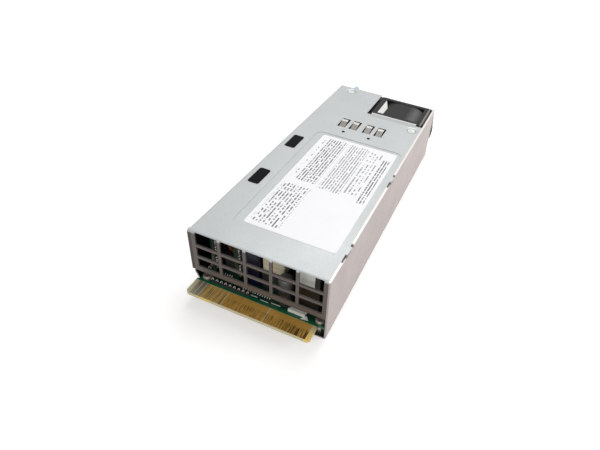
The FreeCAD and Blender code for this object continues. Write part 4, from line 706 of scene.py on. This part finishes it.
# Contacts of the card edge: gold over nickel. Mating rubs dark streaks near the tip, deepest at
# the right, and has worn the first signal contacts grey.
contact_length = (pads_high[Y] - pads_low[Y]) / MM
power_gold, signal_gold = (finish(name, (226, 178, 92), (206, 156, 68), 0.36, metallic=0.3,
    stretch=(1, 0.08, 1), cloud=200, contrast=1.0) for name in ("contact_gold", "contact_grey"))


def streaks(material, corner, start, end, density, share, colour, seed, *masks):
    """Dark rub marks: noise stretched along Y, cut at a share, full up to start and faded out at
    end, both shares of the contact's length from the corner."""
    tree = material.node_tree
    across = maths(tree, "MULTIPLY", coordinate(material, X), density)
    along = maths(tree, "MULTIPLY", coordinate(material, Y), density * 0.05)
    place = add_node(tree, "ShaderNodeCombineXYZ", {0: across, 1: along, 2: seed})
    noise = add_node(tree, "ShaderNodeTexNoise", {"Vector": place.outputs[0], "Scale": 1.0, "Detail": 2.0})
    dark = add_node(tree, "ShaderNodeMapRange", {"Value": noise.outputs["Fac"], "From Min": share,
        "From Max": share - 0.08})
    fade = (ramp, Y, corner, end * contact_length, start * contact_length)
    overlay(material, colour, dark.outputs["Result"], fade, *masks)


streaks(power_gold, pads_low, 0.55, 0.68, 2600, 0.5, (140, 100, 42), 3.0)
streaks(power_gold, pads_low, 0.45, 0.6, 1900, 0.52, (92, 64, 24), 9.0, (ramp, X, origin, 8, 26))
streaks(signal_gold, signal_low, 0.5, 0.9, 1500, 0.5, (146, 106, 46), 5.0)
overlay(signal_gold, (146, 138, 118), (ramp, X, signal_low, 6.4, 5.0))
dress(power_gold, "power_pads")
dress(signal_gold, "signal_pads")

# Board screws: pan heads of dull steel at the rear corners of the board, driven in the
# standoffs.
aged_steel = finish("board_screw_steel", (150, 138, 130), (118, 107, 100), 0.42, metallic=0.5, scale=2500,
    cloud=600, contrast=0.9)
board_screws = [pan_screw(*box, Z, 1.5 * MM) for box in separate_boxes("board_screws", X)]
mesh_piece("board_screws_turned", board_screws, aged_steel, "screw_steel", "board_screws")

# Header and plug at the rear edge: a black strip with bright tin pins, hooked over at the top,
# and a low white connector.
chip_black = finish("chip_black", (30, 30, 32), (18, 18, 19), scale=4000, bump=0.2)
plug_white = finish("plug_white", (236, 236, 230), (220, 220, 212), 0.4, scale=2500)
bright_tin = finish("bright_tin", (248, 248, 245), (232, 232, 228), 0.3, metallic=0.1, scale=2500)
header_low, header_high = corners("rear_pin_header")
strip_height, pin_count = 1.2 * MM, 9
hook = np.array([(0, 0), (0, 1.6), (-0.12, 2.3), (-0.5, 2.7), (-1.0, 2.8), (-1.5, 2.6)]) * MM
pin_y = (header_low[1] + header_high[1]) / 2
pins = []
for pin_x in np.linspace(header_low[0] + 1 * MM, header_high[0] - 1 * MM, pin_count):
    path = np.column_stack([np.full(len(hook), pin_x), pin_y + hook[:, 0],
        header_low[2] + 0.3 * MM + hook[:, 1]])
    pins.append(tube(path, 0.2 * MM, (1, 0, 0), sides=8, closed=False))
strip = moulded(header_low, (*header_high[:2], header_low[2] + strip_height), X, power=10, rim=0.15 * MM)
mesh_piece("header_pins_bent", pins, bright_tin, "screw_steel", "rear_pin_header")
mesh_piece("header_strip_moulded", [strip], chip_black, "chip_black")
plug_low, plug_high = corners("sense_plug")
plug_painted_cavity = plug_white.copy()
plug_painted_cavity.name = "sense_plug_white"
# Painted shade: the top inside the white rim is painted dark, standing for the shade of an opening.
overlay(plug_painted_cavity, (96, 84, 74), (above, X, plug_low, -1), (below, X, plug_high, -0.7),
    (above, Y, plug_low, 0.8), (above, Z, plug_high, -0.2))
dress(plug_painted_cavity, "sense_plug")

# White ink on the board: dashes and a small triangle by the card edge, printed on the mask,
# with no lettering.
board_top = board_high[2]


def ink_mark(*outline):
    """Thin upright prism of ink over an anticlockwise outline: X, and Y from the case's rear edge."""
    flat = np.array(outline) * MM + (0, chassis_low[1])
    points = [np.column_stack([flat, np.full(len(flat), board_top + lift * MM)]) for lift in (-0.02, 0.03)]
    return np.vstack(points), capped_faces(2, len(flat))


ink = [ink_mark((x, y), (x + width, y), (x + width, y + 0.4), (x, y + 0.4))
    for x, width, y in ((-6.7, 4.8, 2.6), (0.1, 4.4, 2.0), (5.8, 5.1, 2.6))]
ink.append(ink_mark((22.6, 0.5), (26.8, 0.9), (25.0, 3.2)))
mesh_piece("board_ink", ink, plug_white, "plug_white", smooth=False)

# Small surface-mount parts: ceramic capacitors and resistors soldered in rows on the main board
# and on the inner faces of the upright boards, each with tinned ends.
part_tan = finish("part_tan", (132, 110, 86), (108, 88, 66), scale=3000)
part_length, part_width = 1.6 * MM, 0.85 * MM
fields = [((-27.2, -17.4), (-86.2, -82.0)), ((-13.8, 7.0), (-88.4, -84.2)), ((30.6, 34.6), (-84, -70)),
    ((-34.6, -30.6), (-84, -60)), ((-27, -17.6), (-70, -48)), ((14, 34), (-45, -36))]
capacitors, resistors, ends = [], [], []


def solder(kept, low, along, up, height, end_height):
    """Adds a part that lies along one axis and rises along another, and its two tinned ends."""
    size, end_size = np.zeros(3), np.zeros(3)
    size[[along, Y, up]] = part_length, part_width, height
    end_size[[along, Y, up]] = 0.34 * MM, part_width + 0.06 * MM, end_height
    kept.append(moulded(low, low + size, along, power=12, rim=0.06 * MM, columns=8))
    for shift in (-0.02 * MM, part_length - 0.32 * MM):
        end_low = low - (0, 0.03 * MM, 0)
        end_low[along] += shift
        ends.append(moulded(end_low, end_low + end_size, along, power=12, rim=0.05 * MM, columns=8))


chooser = np.random.default_rng(7)
for (x0, x1), (y0, y1) in fields:
    across, along = np.meshgrid(np.arange(x0 + 1.0, x1 - 1.0, 2.7), np.arange(y0 + 0.6, y1 - 0.5, 1.9))
    for x, y, kind in zip(across.ravel(), along.ravel(), chooser.random(across.size)):
        if kind < 0.25:
            continue
        kept, height = (resistors, 0.5 * MM) if kind < 0.6 else (capacitors, 0.8 * MM)
        low = np.array([x * MM - part_length / 2, y * MM - part_width / 2, board_top])
        solder(kept, low, X, Z, height, height + 0.03 * MM)
for board in ("daughter_board_left", "daughter_board_right"):
    face_x = corners(board)[1][0]
    for y in (-84.4, -82.0):
        for z in (12.5, 15.5, 18.0, 22.5, 25.0, 28.0, 30.5):
            low = np.array([face_x, y * MM - part_width / 2, z * MM - part_length / 2])
            solder(capacitors, low, Z, X, 0.7 * MM, 0.74 * MM)
mesh_piece("board_small_capacitors", capacitors, part_tan, "relay_cream", smooth=False)
mesh_piece("board_small_resistors", resistors, chip_black, "chip_black", smooth=False)
mesh_piece("board_part_ends", ends, bright_tin, "screw_steel", smooth=False)
dress(chip_black, "daughter_chips", "output_choke_base", "auxiliary_base", "power_transistors", "choke_base",
    "line_choke_base")

# Chokes: enamelled copper wire wound on lacquered ferrite rings, each standing on a moulded
# base.
core_green = finish("core_green", (52, 92, 78), (38, 72, 60), scale=1500)


def wound_ring(node, turns, gauge):
    """Winding and ring core, from the node's box. The wire's path goes round the ring once
    while it goes round the core turns times: centre + (R + r cos b) * out + r sin b * Y."""
    low, high = corners(node)
    centre, half_depth = (low + high) / 2, (high[1] - low[1]) / 2
    ring_radius = (high[0] - low[0]) / 2 - half_depth
    reach = half_depth - gauge / 2
    share = np.linspace(0, 1, turns * 14, endpoint=False)
    around, over = 2 * math.pi * share[:, None], 2 * math.pi * turns * share[:, None]
    out = np.concatenate([np.cos(around), 0 * around, np.sin(around)], 1)
    lift = np.cos(over) * out + np.sin(over) * np.array([0, 1.0, 0])
    wire = tube(centre + ring_radius * out + reach * lift, gauge / 2, lift, sides=7)
    section = np.radians(np.arange(0, 360, 30))
    core_reach = reach - gauge / 2
    core = turned(np.stack([ring_radius + core_reach * np.cos(section), core_reach * np.sin(section)], 1),
        centre, (0, 1, 0), sides=72)
    return wire, core


for node, turns, gauge in (("output_choke", 18, 0.75), ("power_choke", 46, 1.0), ("line_choke", 32, 0.9)):
    wire, core = wound_ring(node, turns, gauge * MM)
    mesh_piece(node + "_winding", [wire], copper, "copper_winding", node)
    mesh_piece(node + "_core", [core], core_green, "ferrite_grey")

# Electrolytic capacitors: aluminium cans in shrunk sleeves, a crimp near the foot, the bare top scored with a
# vent cross. The small can is plain and domed, and painted darker towards its foot.
sleeve_black = finish("can_black", (30, 30, 36), (20, 20, 25), 0.28, spread=0.06, scale=1500, coat=0.2)
sleeve_grey = finish("can_grey", (96, 97, 100), (78, 79, 82), 0.35, scale=1500)
can_dark = finish("small_can_grey", (92, 91, 89), (76, 75, 74), 0.4, scale=1500)
bare_aluminium = (190, 191, 194)


def can(low, high, axis):
    """Can in its box with a crimp near its foot and a rolled rim, turned from its profile, the
    vent cross sunk in its top."""
    radius, height = (high[0] - low[0]) / 2 / MM, (high[axis] - low[axis]) / MM
    crimp = 0.12 * height
    profile = [(0, 0), (radius - 0.4, 0), (radius, 0.4), (radius, crimp), (radius - 0.4, crimp + 0.5),
        (radius - 0.4, crimp + 0.8), (radius, crimp + 1.3), (radius, height - 0.7),
        (radius - 0.25, height - 0.2), (radius - 0.8, height), (radius - 1.0, height - 0.2),
        (0, height - 0.2)]
    return turned(np.array(profile) * MM, foot_of(low, high, axis), np.eye(3)[axis], sides=64,
        recess=(0.62 * radius * MM, 0.15 * MM))


cans_low, cans_high = corners("output_cans")
can_width = (cans_high[0] - cans_low[0] - 0.8 * MM) / 2
output_cans = [can(np.array([x, y, cans_low[2]]), np.array([x + can_width, y + can_width, cans_high[2]]), Z)
    for x in (cans_low[0], cans_high[0] - can_width) for y in (cans_low[1], cans_high[1] - can_width)]
overlay(sleeve_grey, bare_aluminium, (above, Z, cans_high, -0.25))
mesh_piece("output_cans_sleeved", output_cans, sleeve_grey, "can_grey", "output_cans")
small_low, small_high = corners("small_can")
radius, height = (small_high[0] - small_low[0]) / 2 / MM, (small_high[2] - small_low[2]) / MM
small_profile = np.array([(0, 0), (radius - 0.4, 0), (radius, 0.4), (radius, height - 1.6),
    (radius - 0.2, height - 0.9), (radius - 0.8, height - 0.3), (radius - 1.7, height - 0.05),
    (radius - 2.4, height), (0, height)]) * MM
small_turned = turned(small_profile, foot_of(small_low, small_high, Z), (0, 0, 1), sides=64)
# The small can's side is painted darker towards its foot.
overlay(can_dark, (20, 20, 21), (ramp, Z, small_high, -4, -8, 0.9))
mesh_piece("small_can_sleeved", [small_turned], can_dark, "can_grey", "small_can")
bulk_low, bulk_high = corners("bulk_capacitor")
overlay(sleeve_black, bare_aluminium, (above, Y, bulk_high, -0.25))
mesh_piece("bulk_capacitor_sleeved", [can(bulk_low, bulk_high, Y)], sleeve_black, "can_black",
    "bulk_capacitor")

# Boxed parts: film capacitors and relay in potted plastic cases with rounded edges, the relay
# with a bare white sticker.
capacitor_blue = finish("capacitor_blue", (8, 10, 46), (6, 8, 34), 0.3, spread=0.05, scale=1500, specular=0.3)
capacitor_grey = finish("capacitor_grey", (150, 150, 152), (128, 128, 130), 0.45, scale=2500)
relay_brown = finish("relay_cream", (40, 33, 28), (30, 25, 21), 0.4, scale=2500, specular=0.3)
for node, label, material, slot in (("film_capacitor", "film_capacitor_case", capacitor_blue,
        "capacitor_blue"), ("line_capacitor", "line_capacitor_case", capacitor_grey, "capacitor_grey"),
        ("relay_body", "relay_case", relay_brown, "relay_cream")):
    mesh_piece(label, [moulded(*corners(node), Z, power=18, rim=0.5 * MM, columns=64)], material, slot, node)
dress(plug_white, "relay_label")

# Transformers: windings on a moulded bobbin, wrapped in layers of cream tape, round a ferrite
# core.
tape_cream = finish("tape_cream", (246, 241, 212), (230, 223, 190), 0.4, stretch=(0.2, 0.2, 3))
overlay(tape_cream, (176, 166, 128), (stripes, Z, 5.5, 0.97), 0.6)
taped = moulded(*corners("auxiliary_winding"), Z, power=9, rim=0.4 * MM)
mesh_piece("auxiliary_winding_taped", [taped], tape_cream, "tape_cream", "auxiliary_winding")
dress(tape_cream, "transformer_winding")

# Heat sinks: extruded aluminium with fins, cut to length and screwed down beside the
# switching parts.
sink_aluminium = finish("sink_aluminium", (188, 188, 190), (160, 160, 162), 0.4, metallic=0.7,
    stretch=(1, 0.1, 1))
dress(sink_aluminium, "output_heat_sink", "primary_heat_sink")

# Mains fuse: ceramic tube between plated end caps, which hold 2.4 mm of it at each end and are
# soldered in the board.
fuse_ceramic = finish("fuse_ceramic", (228, 224, 214), (206, 200, 188), 0.35, scale=2500)
fuse_low, fuse_high = corners("line_fuse")
for corner, start, end in ((fuse_low, -1, 2.4), (fuse_high, -2.4, 1)):
    overlay(fuse_ceramic, (190, 190, 188), (above, Y, corner, start), (below, Y, corner, end))
dress(fuse_ceramic, "line_fuse")

# Stage: pale floor and a soft studio light from above, behind and the right. Seen directly the
# floor is bright, more so far away; to scattered rays it is darker, which keeps contact shadows.
floor_half = 6.0
floor_corners = np.array([(-1, -1), (1, -1), (1, 1), (-1, 1)]) * floor_half
floor_mesh = bpy.data.meshes.new("floor")
floor_mesh.from_pydata([(x, y, cad_low[2]) for x, y in floor_corners.tolist()], [], [(0, 1, 2, 3)])
floor = bpy.data.objects.new("floor", floor_mesh)
bpy.context.scene.collection.objects.link(floor)


def seen_directly(tree):
    """1 for rays from the camera or off and through glossy and clear surfaces, else 0."""
    path = add_node(tree, "ShaderNodeLightPath").outputs
    return maths(tree, "MAXIMUM", path["Is Camera Ray"], maths(tree, "MAXIMUM", path["Is Glossy Ray"],
        path["Is Transmission Ray"]))


floor_paint = bpy.data.materials.new("floor_paint")
floor_paint.use_nodes = True
floor_tree = floor_paint.node_tree
floor_shader = floor_tree.nodes["Principled BSDF"]
floor_shader.inputs["Roughness"].default_value = 0.9
floor_shader.inputs["Specular IOR Level"].default_value = 0.0
floor_shader.inputs["Emission Color"].default_value = (1, 1, 1, 1)
shown = seen_directly(floor_tree)
floor_tint = add_node(floor_tree, "ShaderNodeMix", {"Factor": shown, 6: (0.36, 0.355, 0.35, 1),
    7: (0.74, 0.73, 0.725, 1)}, data_type="RGBA")
floor_place = add_node(floor_tree, "ShaderNodeTexCoord").outputs["Object"]
floor_reach = add_node(floor_tree, "ShaderNodeVectorMath", {0: floor_place}, operation="LENGTH")
# Painted shade: the floor's glow is weaker near the object, so the floor round it shows darker.
floor_glow = add_node(floor_tree, "ShaderNodeMapRange", {"Value": floor_reach.outputs["Value"],
    "From Min": 0.25, "From Max": 0.7, "To Min": 0.44, "To Max": 1.04}, interpolation_type="SMOOTHSTEP")
floor_tree.links.new(floor_tint.outputs[2], floor_shader.inputs["Base Color"])
floor_tree.links.new(maths(floor_tree, "MULTIPLY", shown, floor_glow.outputs["Result"]),
    floor_shader.inputs["Emission Strength"])
floor_mesh.materials.append(floor_paint)

ambient = 0.22
studio = bpy.data.worlds.new("studio")
studio.use_nodes = True
bpy.context.scene.world = studio
sky = studio.node_tree
background = sky.nodes["Background"].inputs
background["Color"].default_value = (1, 1, 1, 1)
sky.links.new(maths(sky, "MAXIMUM", seen_directly(sky), ambient), background["Strength"])


def softbox(name, place, size, power):
    """Square area lamp that faces the middle of the object."""
    lamp = bpy.data.lights.new(name, "AREA")
    lamp.size, lamp.energy = size, power
    holder = bpy.data.objects.new(name, lamp)
    holder.location = place
    holder.rotation_euler = (Vector((0, 0, 0.02)) - Vector(place)).to_track_quat("-Z", "Y").to_euler()
    bpy.context.scene.collection.objects.link(holder)


softbox("overhead", (-0.05, 0.45, 0.85), 0.6, 5.0)
softbox("right_fill", (0.8, 0.25, 0.3), 0.5, 3.9)
softbox("front_fill", (0.1, -0.75, 0.5), 0.5, 3.0)

# Camera: on a bearing round the object, looking at a point of the floor, rolled, with a small
# shift of the lens.
azimuth, elevation, roll = np.radians([18.054, 37.690, 6.513]).tolist()
aim, distance = Vector((0.006, 0.01587, 0)), 0.31652
look = Vector((-math.sin(azimuth) * math.cos(elevation), math.cos(azimuth) * math.cos(elevation),
    -math.sin(elevation)))
right = look.cross(Vector((0, 0, 1))).normalized()
up = right.cross(look)
rolled_right = math.cos(roll) * right + math.sin(roll) * up
rolled_up = -math.sin(roll) * right + math.cos(roll) * up
lens = bpy.data.cameras.new("camera")
lens.sensor_fit = "HORIZONTAL"
lens.sensor_width, lens.lens, lens.clip_start = 36.0, 28.5222, 0.01
lens.shift_x, lens.shift_y = -0.0846667, -0.0451667
camera = bpy.data.objects.new("camera", lens)
camera.matrix_world = (Matrix.Translation(aim - look * distance)
    @ Matrix((rolled_right, rolled_up, -look)).transposed().to_4x4())
bpy.context.scene.collection.objects.link(camera)
bpy.context.scene.camera = camera
bpy.context.scene.view_settings.view_transform = "Standard"
